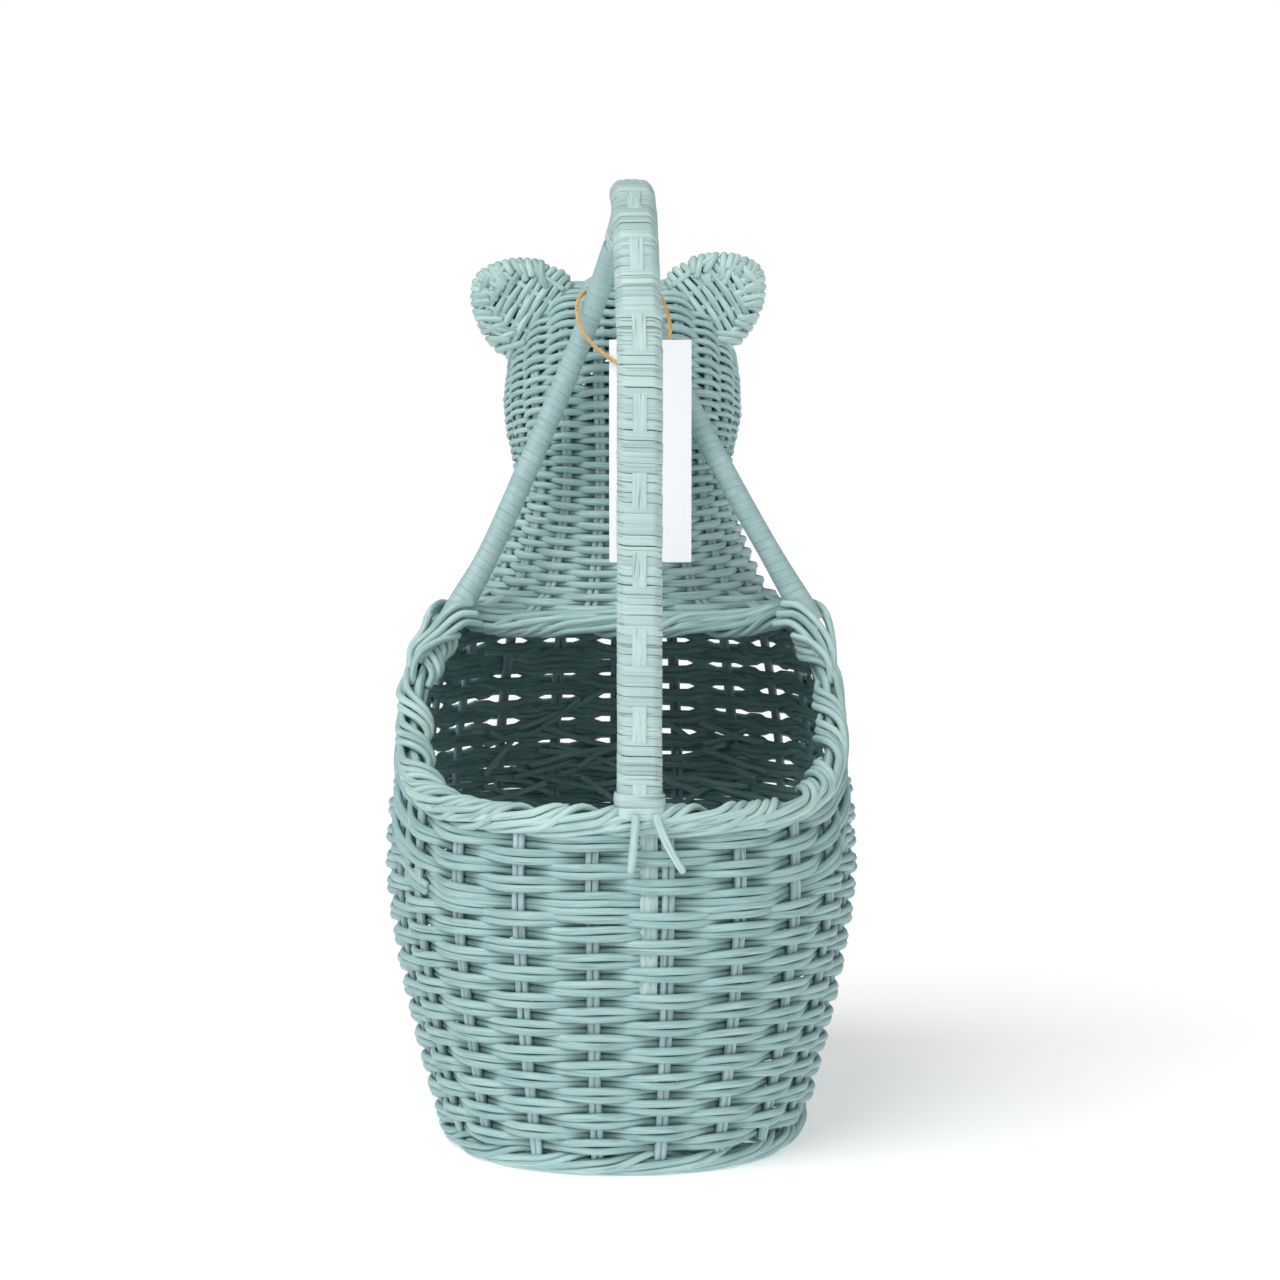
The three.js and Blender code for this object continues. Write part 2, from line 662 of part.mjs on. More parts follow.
// A curve's frames by distance along it, from one share of it to another
function evenFrames(frameAt, from, to) {
  const parts = 400;
  const table = [{ share: from, distance: 0 }];
  for (let i = 1; i <= parts; i++) {
    const share = from + (to - from) * (i / parts);
    const step = frameAt(share).middle.distanceTo(frameAt(table[i - 1].share).middle);
    table.push({ share, distance: table[i - 1].distance + step });
  }
  const frameAtDistance = (distance) => {
    const reached = Math.min(distance, table[parts].distance);
    const i = Math.max(1, table.findIndex((entry) => entry.distance >= reached));
    const [low, high] = [table[i - 1], table[i]];
    const part = (distance - low.distance) / (high.distance - low.distance);
    return frameAt(low.share + part * (high.share - low.share));
  };
  return { length: table[parts].distance, frameAtDistance };
}

// Peel wound round the rods as one flat band: its middle climbs evenly, its edges stand apart
function winding(frameAt, from, to, turns, steps, name) {
  const { length, frameAtDistance } = evenFrames(frameAt, from, to);
  const pitch = length / (turns + 1);
  const halfBand = (pitch - windingGap) / 2;
  const count = turns * steps;
  const rings = [...Array(count + 1).keys()].map((i) => {
    const distance = pitch / 2 + turns * pitch * (i / count);
    const turn = ((i + 0.5) / steps) * 2 * Math.PI;
    const corner = (shift, out) => {
      const { middle, first, second, apart } = frameAtDistance(distance + shift);
      const radius = (rodRadius + seatGap + out) / Math.cos(Math.PI / steps);
      return middle.clone()
        .addScaledVector(first, apart * Math.sign(Math.cos(turn)) + radius * Math.cos(turn))
        .addScaledVector(second, radius * Math.sin(turn));
    };
    return [
      corner(-halfBand, 0), corner(halfBand, 0),
      corner(halfBand, peelThickness), corner(-halfBand, peelThickness),
    ];
  });
  let least = Infinity;
  for (let i = 0; i + steps <= count; i++) {
    least = Math.min(least, rings[i][1].distanceTo(rings[i + steps][0]));
  }
  console.log(`${name}: ${turns} turns, least gap to itself ${least.toFixed(2)} mm`);
  return ringSolid(rings);
}

function pairFrame(t) {
  const [left, right] = [rodCurves.left.getPoint(t), rodCurves.right.getPoint(t)];
  const tangent = rodCurves.left.getTangent(t).add(rodCurves.right.getTangent(t)).normalize();
  const [first, second] = acrossVectors(tangent);
  const middle = left.clone().add(right).multiplyScalar(0.5);
  return { middle, first, second, apart: left.distanceTo(right) / 2 };
}

function rodFrame(side) {
  return (t) => {
    const [first, second] = acrossVectors(rodCurves[side].getTangent(t));
    return { middle: rodCurves[side].getPoint(t), first, second, apart: 0 };
  };
}

// Shares of the handle's curve at the collar's top, where the rods part, and at the fork's foot
function shareWhere(test) {
  const parts = 2000;
  for (let i = 0; i <= parts; i++) {
    const share = i / parts;
    if (test(rodCurves.left.getPoint(share), rodCurves.right.getPoint(share), share)) return share;
  }
  return 1;
}

const collarTop = legFoot + collarHeight;
const pairStart = shareWhere((left) => left.z > collarTop + seatGap);
const partingShare = shareWhere((left, right, t) => t > 0.5 && left.distanceTo(right) > partingSpacing);
const forkStart = shareWhere((left, right, t) => t > 0.5 && left.distanceTo(right) > forkSpacing);
const forkWrapBottom = forkFootHeight + forkWrapAboveFoot;
const forkEnd = shareWhere((left, right, t) => t > partingShare && left.z < forkWrapBottom);

add('leg_wrap', winding(pairFrame, pairStart, partingShare, legTurns, legTurnSteps, 'leg_wrap'), rattan);
for (const side of ['left', 'right']) {
  const name = `fork_wrap_${side}`;
  add(name, winding(rodFrame(side), forkStart, forkEnd, forkTurns, forkTurnSteps, name), rattan);
}

// Collar: a tight sleeve round the pair of rods, standing on the rim
const collarSides = 16;

function collarRing(z, out) {
  const radius = (rodRadius + seatGap + out) / Math.cos(Math.PI / collarSides);
  return [...Array(collarSides).keys()].map((side) => {
    const turn = ((side + 0.5) / collarSides) * 2 * Math.PI;
    const x = Math.sign(Math.cos(turn)) * rodSpacing / 2 + radius * Math.cos(turn);
    return new THREE.Vector3(legOffset + x, legY + radius * Math.sin(turn), z);
  });
}

const collarSections = [...Array(collarSides).keys()].map((side) => [
  collarRing(legFoot, 0)[side],
  collarRing(legFoot, collarThickness)[side],
  collarRing(collarTop, collarThickness)[side],
  collarRing(collarTop, 0)[side],
]);
add('tail_collar', ringSolid(collarSections, { looped: true }), rattan);

// Listing strip: a flat strip along the outer face of the leg and over the arch
const stripSteps = 24;
const stripRings = [...Array(stripSteps + 1).keys()].map((i) => {
  const { middle, first, second } = pairFrame(pairStart + (partingShare - pairStart) * (i / stripSteps));
  const rise = rodRadius + 2 * seatGap + peelThickness;
  const corner = (across, up) => middle.clone()
    .addScaledVector(first, across * stripWidth / 2)
    .addScaledVector(second, up);
  return [
    corner(-1, rise), corner(1, rise), corner(1, rise + stripThickness), corner(-1, rise + stripThickness),
  ];
});
add('listing_strip', ringSolid(stripRings), rattan);

// Tie ends: the two loose ends that hang from below the collar over the rim
function tube(points, radius, steps, sides) {
  const curve = new THREE.CatmullRomCurve3(points, false, 'centripetal');
  const section = new THREE.Shape([...Array(sides).keys()].map((side) => {
    const turn = (side / sides) * 2 * Math.PI;
    return new THREE.Vector2(radius * Math.cos(turn), radius * Math.sin(turn));
  }));
  return new THREE.ExtrudeGeometry(section, { extrudePath: curve, steps, bevelEnabled: false });
}

const tieRadius = tieDiameter / 2;
const tieStart = legFoot - seatGap;
['left', 'right'].forEach((side, i) => {
  const sign = i === 0 ? -1 : 1;
  const x = legOffset + sign * rodSpacing / 2;
  const points = [0, 0.35, 0.7, 1].map((share) => {
    const z = tieStart - tieLength * share;
    const wall = bodyPoint(tailAngle, Math.min(z, tailHeight), 0).y;
    const clear = Math.max(rimHalfWidth - wallThickness / 2, 0) + seatGap + tieRadius;
    return new THREE.Vector3(x + tieSpread[i] * share ** 1.4, wall - clear, z);
  });
  add(`tie_end_${side}`, tube(points, tieRadius, 5, 6), rattan);
});

// Tag: a bare card with a hole for the twine
const tagShape = new THREE.Shape([
  new THREE.Vector2(-tagWidth / 2, -tagHeight),
  new THREE.Vector2(tagWidth / 2, -tagHeight),
  new THREE.Vector2(tagWidth / 2, 0),
  new THREE.Vector2(-tagWidth / 2, 0),
]);
const tagHole = new THREE.Path();
tagHole.absarc(0, -tagHoleDrop, tagHoleDiameter / 2, 0, 2 * Math.PI, true);
tagShape.holes.push(tagHole);
const tagGeometry = new THREE.ExtrudeGeometry(tagShape, {
  depth: tagThickness, bevelEnabled: false, curveSegments: 12,
});
const tag = add('tag', tagGeometry, card, 0.8);
tag.rotation.x = Math.PI / 2;
tag.position.set(tagMiddle, -tagBehind + tagThickness / 2, tagTop);

const twineRoute = twinePoints.map((p) => new THREE.Vector3(...p));
add('twine', tube(twineRoute, twineDiameter / 2, 44, 8), jute, 0.9);

export default basket;
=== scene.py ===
"""A woven rattan basket shaped like a sitting animal, dressed with its strands, finishes and studio.

Lengths in this script are in millimetres, +Z up, the tail towards -Y, and are scaled to metres when
a mesh is made. Shapes are given by formulas over numpy arrays: every strand is a row of middle
points with a reference normal, swept by one routine into a closed tube.
"""

import logging
from dataclasses import dataclass, field
from enum import Enum
from functools import cache
from typing import Any, Callable, Sequence

import bpy
import numpy as np
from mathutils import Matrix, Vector


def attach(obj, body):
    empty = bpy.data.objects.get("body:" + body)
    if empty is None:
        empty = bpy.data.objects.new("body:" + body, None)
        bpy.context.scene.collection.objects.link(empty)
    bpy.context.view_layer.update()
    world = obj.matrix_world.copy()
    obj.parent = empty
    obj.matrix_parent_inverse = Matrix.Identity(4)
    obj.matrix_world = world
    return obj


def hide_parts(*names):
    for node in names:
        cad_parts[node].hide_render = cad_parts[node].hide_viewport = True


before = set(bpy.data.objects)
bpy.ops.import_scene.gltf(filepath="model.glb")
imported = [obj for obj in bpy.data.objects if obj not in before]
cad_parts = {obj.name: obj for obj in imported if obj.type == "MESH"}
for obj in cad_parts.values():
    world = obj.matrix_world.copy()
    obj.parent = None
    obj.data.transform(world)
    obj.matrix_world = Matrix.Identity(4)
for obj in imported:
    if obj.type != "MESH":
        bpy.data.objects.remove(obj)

Array = np.ndarray
Item = bpy.types.Object
Material = bpy.types.Material
Pair = tuple[float, float]
Triple = tuple[float, float, float]

LOG = logging.getLogger("basket")
MM = 0.001
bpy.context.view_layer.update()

# Clearance between pieces that rest on each other, the same as in the solid part
SEAT_GAP = 0.3

# The rounded cap at a strand's end, as shares of the strand's radius
CAP_RADIUS = 0.62
CAP_LENGTH = 0.55


class Body(Enum):
    """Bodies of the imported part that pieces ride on."""

    BASKET = "basket"
    TAG = "hang_tag"


class Slot(Enum):
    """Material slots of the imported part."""

    WEAVER = "rattan_weaver"
    STAKE = "rattan_stake"
    BORDER = "rattan_border"
    PEEL = "rattan_peel"
    TWINE = "jute_twine"


class Side(Enum):
    """Sides of the basket as the photograph shows it. The value is the sign of X."""

    LEFT = -1
    RIGHT = 1

    @property
    def label(self) -> str:
        """The side's word in the names of nodes and pieces."""
        return self.name.lower()


# ---- Curves and vectors ----


def unit(vectors: Array) -> Array:
    """Vectors scaled to length one along the last axis."""
    return vectors / np.maximum(np.linalg.norm(vectors, axis=-1, keepdims=True), 1e-12)


def ease(values: Array | float) -> Array:
    """The cubic 3v^2 - 2v^3 of values held between 0 and 1."""
    held = np.clip(values, 0.0, 1.0)
    return held * held * (3.0 - 2.0 * held)


def catmull_rom(knots: Array, share: Array) -> Array:
    """Points of a centripetal Catmull-Rom curve.

    Each span is a cubic through two knots. Its end slopes weigh the neighbouring spans by the
    square root of their lengths, and every span takes an equal part of the share.

    Args:
        knots: The K points that the curve passes, shape (K, D).
        share: Places along the curve from 0 to 1.

    Returns:
        The points, shape (len(share), D).
    """
    padded = np.vstack([2 * knots[0] - knots[1], knots, 2 * knots[-1] - knots[-2]])
    place = np.clip(share, 0.0, 1.0) * (len(knots) - 1)
    span = np.minimum(place.astype(int), len(knots) - 2)
    t = (place - span)[:, None]
    before, start, end, after = (padded[span + i] for i in range(4))
    first, middle, last = (
        np.sqrt(np.maximum(np.linalg.norm(b - a, axis=1, keepdims=True), 1e-8))
        for a, b in ((before, start), (start, end), (end, after))
    )
    leave = (start - before) / first - (end - before) / (first + middle) + (end - start) / middle
    reach = (end - start) / middle - (after - start) / (middle + last) + (after - end) / last
    leave, reach = leave * middle, reach * middle
    cubic = 2 * start - 2 * end + leave + reach
    square = -3 * start + 3 * end - 2 * leave - reach
    return start + leave * t + square * t**2 + cubic * t**3


def crevice_shade(wave: Array) -> Array:
    """How deep a strand lies in the weave, from its swing: 0 in front of a stake, 1 behind it."""
    # The result is the mask of the painted shade in the crevices.
    return ease(0.1 - 1.1 * wave)


def distances(points: Array) -> Array:
    """The distance travelled at every point of a path, from 0 at its start."""
    steps = np.linalg.norm(np.diff(points, axis=0), axis=1)
    return np.concatenate([[0.0], np.cumsum(steps)])


@dataclass(frozen=True)
class Track:
    """A path with two directions across it, read by distance.

    Args:
        points: The middle points, shape (M, 3).
        across: Directions to the path's outside, shape (M, 3).
        upward: Directions square to both the path and across, shape (M, 3).
    """

    points: Array
    across: Array
    upward: Array

    @property
    def length(self) -> float:
        """The whole length of the path."""
        return float(distances(self.points)[-1])

    def at(self, distance: Array) -> tuple[Array, Array, Array]:
        """The point and both directions at given distances along the path.

        Args:
            distance: Distances from the start, of any shape.

        Returns:
            Points, across and upward directions, each of distance's shape plus (3,).
        """
        travelled = distances(self.points)
        rows = [
            np.stack([np.interp(distance, travelled, values[:, i]) for i in range(3)], axis=-1)
            for values in (self.points, self.across, self.upward)
        ]
        return rows[0], unit(rows[1]), unit(rows[2])


class Wander:
    """Small smooth unevenness of handmade work, the same in every run.

    Args:
        seed: Start of the random numbers.
    """

    def __init__(self, seed: int) -> None:
        """Starts the random numbers."""
        self.random = np.random.default_rng(seed)

    def along(self, distance: Array, size: float, wave: float) -> Array:
        """A smooth random line: the sum of three sines of nearby wavelengths.

        Args:
            distance: Places along a strand.
            size: Typical height of the waves.
            wave: Middle wavelength.

        Returns:
            The height at every place.
        """
        lengths = wave * np.array([0.63, 1.0, 1.71])
        phases = self.random.uniform(0, 2 * np.pi, 3)
        return size * 0.8 * np.sin(2 * np.pi * distance[..., None] / lengths + phases).sum(axis=-1)

    def pick(self, count: int, low: float = 0.0, high: float = 1.0) -> Array:
        """Evenly spread random numbers between two values."""
        return self.random.uniform(low, high, count)


# ---- Mesh making ----


@dataclass
class StrandSet:
    """Strands gathered into one mesh, each swept along its points.

    Around a middle point p with tangent t and reference normal n, the frame is b = t x n and
    m = b x t, and corner k of the section sits at p + r (m cos k + f b sin k), with flattening f.
    Ends close with a small rounded cap. Three point attributes go with the mesh: "lay" holds the
    distance along the strand and the place in its section, "tone" one random number a strand, and
    "hollow" how deep a point lies in the weave's crevices, from 0 to 1: a mask of painted shade.

    Args:
        sides: Corners of a strand's section.
        seed: Start of the random tones.
    """

    sides: int = 8
    seed: int = 1
    _points: list[Array] = field(default_factory=list)
    _lay: list[Array] = field(default_factory=list)
    _tone: list[Array] = field(default_factory=list)
    _hollow: list[Array] = field(default_factory=list)
    _faces: list[Array] = field(default_factory=list)
    _caps: list[Array] = field(default_factory=list)
    _count: int = 0

    def __post_init__(self) -> None:
        """Starts the random tones."""
        self._random = np.random.default_rng(self.seed)

    def add(
        self, points: Array, normals: Array, radius: float | Array, flat: float = 1.0,
        closed: bool = False, hollow: float | Array = 0.0,
    ) -> None:
        """Sweeps one strand.

        Args:
            points: Middle points, shape (M, 3).
            normals: Reference normals, shape (M, 3) or (3,).
            radius: Half thickness along the normal, one number or M of them.
            flat: How much wider than thick the section is.
            closed: Whether the strand is a ring without ends.
            hollow: Value of the "hollow" attribute, one number or M of them.
        """
        count = len(points)
        if count < 3:
            return
        if closed:
            tangent = unit(np.roll(points, -1, axis=0) - np.roll(points, 1, axis=0))
        else:
            tangent = unit(np.gradient(points, axis=0))
        beside = unit(np.cross(tangent, np.broadcast_to(normals, points.shape)))
        facing = np.cross(beside, tangent)
        reach = np.broadcast_to(np.asarray(radius, float), (count,)).copy()
        deep = np.broadcast_to(np.asarray(hollow, float), (count,))
        middles, travelled = points, distances(points)
        if not closed:
            cap = reach[[0, -1]]
            lead = points[0] - tangent[0] * cap[0] * CAP_LENGTH
            tail = points[-1] + tangent[-1] * cap[1] * CAP_LENGTH
            middles = np.vstack([lead, points, tail])
            beside = np.vstack([beside[:1], beside, beside[-1:]])
            facing = np.vstack([facing[:1], facing, facing[-1:]])
            reach = np.concatenate([cap[:1] * CAP_RADIUS, reach, cap[1:] * CAP_RADIUS])
            travelled = np.concatenate([[travelled[0] - 1], travelled, [travelled[-1] + 1]])
            deep = np.concatenate([deep[:1], deep, deep[-1:]])
            count += 2
        turn = np.arange(self.sides) / self.sides * 2 * np.pi
        section = np.stack([np.cos(turn), flat * np.sin(turn)], axis=1)
        spread = reach[:, None, None] * section[None]
        ring = middles[:, None] + spread[..., :1] * facing[:, None]
        ring = ring + spread[..., 1:] * beside[:, None]
        shift, tone = self._random.uniform(0, 500), self._random.uniform(0, 1)
        along = np.broadcast_to((travelled + shift)[:, None, None], (count, self.sides, 1))
        self._points.append(ring.reshape(-1, 3))
        self._lay.append(np.concatenate([along, spread], axis=2).reshape(-1, 3))
        self._tone.append(np.full(count * self.sides, tone))
        self._hollow.append(np.repeat(deep, self.sides))
        rows = np.arange(count if closed else count - 1)
        self._add_faces(rows, count)
        if not closed:
            corners = np.arange(self.sides)
            self._caps.append(self._count + corners[::-1])
            self._caps.append(self._count + (count - 1) * self.sides + corners)
        self._count += count * self.sides

    def _add_faces(self, rows: Array, count: int) -> None:
        """Adds four-cornered faces between each row of corners and the next.

        Args:
            rows: Numbers of the rows that start a band of faces.
            count: Rows of the strand.
        """
        near = rows[:, None] * self.sides
        far = ((rows + 1) % count)[:, None] * self.sides
        here = np.arange(self.sides)[None]
        there = (here + 1) % self.sides
        quads = np.stack([near + here, near + there, far + there, far + here], axis=2)
        self._faces.append(self._count + quads.reshape(-1, 4))

    def build(self, name: str) -> Item:
        """The gathered strands as one smooth mesh object.

        Args:
            name: Name of the object.

        Returns:
            The new object, at the origin.
        """
        quads = np.concatenate(self._faces)
        caps = np.array(self._caps).reshape(-1, self.sides)
        loops = np.concatenate([quads.ravel(), caps.ravel()])
        starts = np.concatenate([
            np.arange(len(quads)) * 4,
            quads.size + np.arange(len(caps)) * self.sides,
        ])
        item = mesh_object(name, np.concatenate(self._points), loops, starts)
        write_attribute(item, "lay", np.concatenate(self._lay) * MM)
        write_attribute(item, "tone", np.concatenate(self._tone))
        write_attribute(item, "hollow", np.concatenate(self._hollow))
        return item


def mesh_object(name: str, points: Array, loops: Array, starts: Array) -> Item:
    """A smooth mesh object from flat arrays.

    Args:
        name: Name of the object and its mesh.
        points: Corners in millimetres, shape (V, 3).
        loops: Corner numbers of all faces, one after another.
        starts: Place in loops where each face starts.

    Returns:
        The new object, linked to the scene.
    """
    mesh = bpy.data.meshes.new(name)
    mesh.vertices.add(len(points))
    mesh.vertices.foreach_set("co", (points * MM).astype(np.float32).ravel())
    mesh.loops.add(len(loops))
    mesh.loops.foreach_set("vertex_index", loops.astype(np.int32))
    mesh.polygons.add(len(starts))
    mesh.polygons.foreach_set("loop_start", starts.astype(np.int32))
    mesh.update(calc_edges=True)
    mesh.validate()
    mesh.polygons.foreach_set("use_smooth", np.ones(len(mesh.polygons), bool))
    item = bpy.data.objects.new(name, mesh)
    bpy.context.scene.collection.objects.link(item)
    return item


def write_attribute(item: Item, name: str, values: Array) -> None:
    """Stores numbers or vectors on the mesh's points.

    Args:
        item: Mesh object.
        name: Name of the attribute.
        values: One number or one vector of three for every point.
    """
    vector = values.ndim == 2
    layer = item.data.attributes.new(name, "FLOAT_VECTOR" if vector else "FLOAT", "POINT")
    layer.data.foreach_set("vector" if vector else "value", values.astype(np.float32).ravel())


def grid_object(name: str, grid: Array, lay: Array, tone: float | Array) -> Item:
    """A closed solid from rings of corners, capped at both ends.

    Args:
        name: Name of the object.
        grid: Rings by corners by 3, in millimetres, the corners running round each ring so that
            the faces point out.
        lay: The same shape, for the "lay" attribute.
        tone: Value of the "tone" attribute, one number or one for every ring.

    Returns:
        The new object.
    """
    rings, corners = grid.shape[:2]
    near = np.arange(rings - 1)[:, None] * corners
    here = np.arange(corners)[None]
    there = (here + 1) % corners
    quads = np.stack([near + here, near + there, near + corners + there, near + corners + here], axis=2)
    first = np.arange(corners)[::-1]
    last = (rings - 1) * corners + np.arange(corners)
    loops = np.concatenate([quads.ravel(), first, last])
    starts = np.append(np.arange(quads.size // 4) * 4, [quads.size, quads.size + corners])
    item = mesh_object(name, grid.reshape(-1, 3), loops, starts)
    write_attribute(item, "lay", lay.reshape(-1, 3) * MM)
    write_attribute(item, "tone", np.repeat(np.broadcast_to(tone, (rings,)), corners))
    return item


# ---- Finishes ----


class Value:
    """A shader socket with arithmetic, so that node graphs read as formulas.

    Args:
        graph: Graph that the socket is in.
        socket: The output socket.
    """

    def __init__(self, graph: "Graph", socket: bpy.types.NodeSocket) -> None:
        """Wraps the socket."""
        self.graph = graph
        self.socket = socket

    def _math(self, operation: str, *others: Any) -> "Value":
        """A math node on this socket and other sockets or numbers."""
        return self.graph.add("ShaderNodeMath", "Value", [self, *others], operation=operation)

    def __add__(self, other: Any) -> "Value":
        """This value and another, added."""
        return self._math("ADD", other)

    def __radd__(self, other: Any) -> "Value":
        """A number and this value, added."""
        return self._math("ADD", other)

    def __sub__(self, other: Any) -> "Value":
        """This value less another."""
        return self._math("SUBTRACT", other)

    def __rsub__(self, other: Any) -> "Value":
        """A number less this value."""
        return self.graph.add("ShaderNodeMath", "Value", [other, self], operation="SUBTRACT")

    def __mul__(self, other: Any) -> "Value":
        """This value times another."""
        return self._math("MULTIPLY", other)

    def __rmul__(self, other: Any) -> "Value":
        """A number times this value."""
        return self._math("MULTIPLY", other)

    def scaled(self, x: float, y: float, z: float) -> "Value":
        """This vector with each part multiplied."""
        return self.graph.add("ShaderNodeVectorMath", "Vector", [self, (x, y, z)], operation="MULTIPLY")


class Graph:
    """The node graph of one material.

    Args:
        name: Name of the material.
    """

    def __init__(self, name: str) -> None:
        """Makes the material, with its shader linked to its surface."""
        self.material = bpy.data.materials.new(name)
        self.material.use_nodes = True
        self.nodes = self.material.node_tree.nodes
        self.links = self.material.node_tree.links
        self.nodes.clear()
        self.shader = self.nodes.new("ShaderNodeBsdfPrincipled")
        output = self.nodes.new("ShaderNodeOutputMaterial")
        self.links.new(self.shader.outputs["BSDF"], output.inputs["Surface"])

    def put(self, socket: bpy.types.NodeSocket, value: Any) -> None:
        """Links a value to an input socket, or sets the constant on it.

        Args:
            socket: The input socket.
            value: A Value, or a constant of the socket's kind.
        """
        if isinstance(value, Value):
            self.links.new(value.socket, socket)
        else:
            socket.default_value = value

    def add(self, kind: str, output: str, inputs: Any = (), **settings: Any) -> Value:
        """Adds any node.

        Args:
            kind: The node's type name.
            output: Name of the output socket to return.
            inputs: Values by socket name, or a list in the sockets' order.
            settings: Properties of the node.

        Returns:
            The named output.
        """
        node = self.nodes.new(kind)
        for key, value in settings.items():
            setattr(node, key, value)
        pairs = inputs.items() if isinstance(inputs, dict) else enumerate(inputs)
        for key, value in pairs:
            self.put(node.inputs[key], value)
        return Value(self, node.outputs[output])

    def attribute(self, name: str, output: str) -> Value:
        """A point attribute of the mesh."""
        return self.add("ShaderNodeAttribute", output, attribute_name=name)

    def noise(self, place: Value, scale: float, detail: float = 2.0) -> Value:
        """Smooth noise between 0 and 1 at a place."""
        return self.add("ShaderNodeTexNoise", "Fac", {"Vector": place, "Scale": scale, "Detail": detail})

    def held(self, value: Value) -> Value:
        """A value held between 0 and 1."""
        return self.add("ShaderNodeClamp", "Result", [value, 0.0, 1.0])

    def between(self, value: Value, low: Any, high: Any) -> Value:
        """A colour between two.

        Args:
            value: Share of the second colour, from 0 to 1.
            low: The first colour, a Value or three numbers.
            high: The second colour, a Value or three numbers.

        Returns:
            The mixed colour.
        """
        node = self.nodes.new("ShaderNodeMix")
        node.data_type = "RGBA"
        self.put(node.inputs["Factor"], value)
        colours = [socket for socket in node.inputs if socket.type == "RGBA"]
        self.put(colours[0], (*low, 1.0) if not isinstance(low, Value) else low)
        self.put(colours[1], (*high, 1.0) if not isinstance(high, Value) else high)
        result = next(socket for socket in node.outputs if socket.type == "RGBA")
        return Value(self, result)

    def finish(
        self, colour: Any, roughness: Any, height: Value, depth: float
    ) -> Material:
        """Sets the surface and returns the material.

        Args:
            colour: Base colour.
            roughness: Roughness.
            height: Height of the relief, from 0 to 1.
            depth: Depth of the relief in metres.

        Returns:
            The finished material.
        """
        self.put(self.shader.inputs["Base Color"], colour)
        self.put(self.shader.inputs["Roughness"], roughness)
        bump = self.add("ShaderNodeBump", "Normal", {"Height": height, "Distance": depth})
        self.put(self.shader.inputs["Normal"], bump)
        return self.material


@dataclass(frozen=True)
class RattanFinish:
    """Painted rattan: lengthwise grain, a tone of its own for each strand, and a satin sheen.

    Args:
        name: Name of the material.
        pale: Colour of the palest strands.
        deep: Colour of the deepest strands.
        grain: Depth of the grain in metres.
        roughness: Middle roughness.
        fine: Grain lines across a metre.
        streaks: Strength of the thin dark lines along the grain, from 0 to 1.
        inside: How much painted shade darkens the side that faces inwards, from 0 to 1.
        crevice_shade: How much painted shade darkens a strand where it passes behind, from 0 to 1.
        inner_shade_colour: Colour of the painted shade on the side that faces inwards.
    """

    name: str
    pale: Triple
    deep: Triple
    grain: float = 0.00012
    roughness: float = 0.46
    fine: float = 1500.0
    streaks: float = 0.3
    inside: float = 0.0
    crevice_shade: float = 0.0
    # Painted shade: the dark teal that the side facing inwards is mixed towards.
    inner_shade_colour: Triple = (0.01, 0.115, 0.098)

    def make(self) -> Material:
        """Builds the finish as a graph of nodes.

        Returns:
            The material.
        """
        graph = Graph(self.name)
        lay = graph.attribute("lay", "Vector")
        tone = graph.attribute("tone", "Fac")
        fibres = graph.noise(lay.scaled(0.05, 1, 1), self.fine, 3.0)
        patches = graph.noise(lay.scaled(0.35, 1, 1), 160.0, 2.0)
        lines = graph.noise(lay.scaled(0.06, 1, 1), 0.75 * self.fine, 1.0)
        shade = 0.4 * tone + 1.3 * fibres + 0.6 * patches - 0.65
        colour = graph.between(graph.held(shade), self.deep, self.pale)
        dark = graph.held(8.0 * (lines - 0.6)) * self.streaks
        colour = graph.between(dark, colour, tuple(0.35 * part for part in self.deep))
        # Painted shade: darker where a strand passes behind a stake, by the hollow attribute.
        if self.crevice_shade > 0:
            behind = graph.attribute("hollow", "Fac") * self.crevice_shade
            colour = graph.between(behind, colour, tuple(0.25 * part for part in self.deep))
        # Painted shade on the side of each strand that faces inwards.
        if self.inside > 0:
            across = graph.add("ShaderNodeSeparateXYZ", "Y", [lay])
            inner_shade_mask = graph.held(0.15 - 650.0 * across)
            colour = graph.between(inner_shade_mask * self.inside, colour, self.inner_shade_colour)
        roughness = self.roughness - 0.08 + 0.16 * patches
        return graph.finish(colour, roughness, fibres, self.grain)


@dataclass(frozen=True)
class PlainFinish:
    """A finish of one substance seen in Object coordinates, with fine relief.

    Args:
        name: Name of the material.
        pale: One colour.
        deep: The other colour.
        scale: Size of the pattern, in repeats across a metre.
        relief: Depth of the relief in metres.
        roughness: Roughness.
        upright: How far the pattern is stretched along Z, 1 for not at all.
    """

    name: str
    pale: Triple
    deep: Triple
    scale: float
    relief: float
    roughness: float
    upright: float = 1.0

    def make(self) -> Material:
        """Builds the finish as a graph of nodes.

        Returns:
            The material.
        """
        graph = Graph(self.name)
        place = graph.add("ShaderNodeTexCoord", "Object").scaled(1, 1, 1 / self.upright)
        fibres = graph.noise(place, self.scale, 4.0)
        colour = graph.between(graph.held(2.4 * fibres - 0.7), self.deep, self.pale)
        return graph.finish(colour, self.roughness, fibres, self.relief)


Finish = RattanFinish | PlainFinish
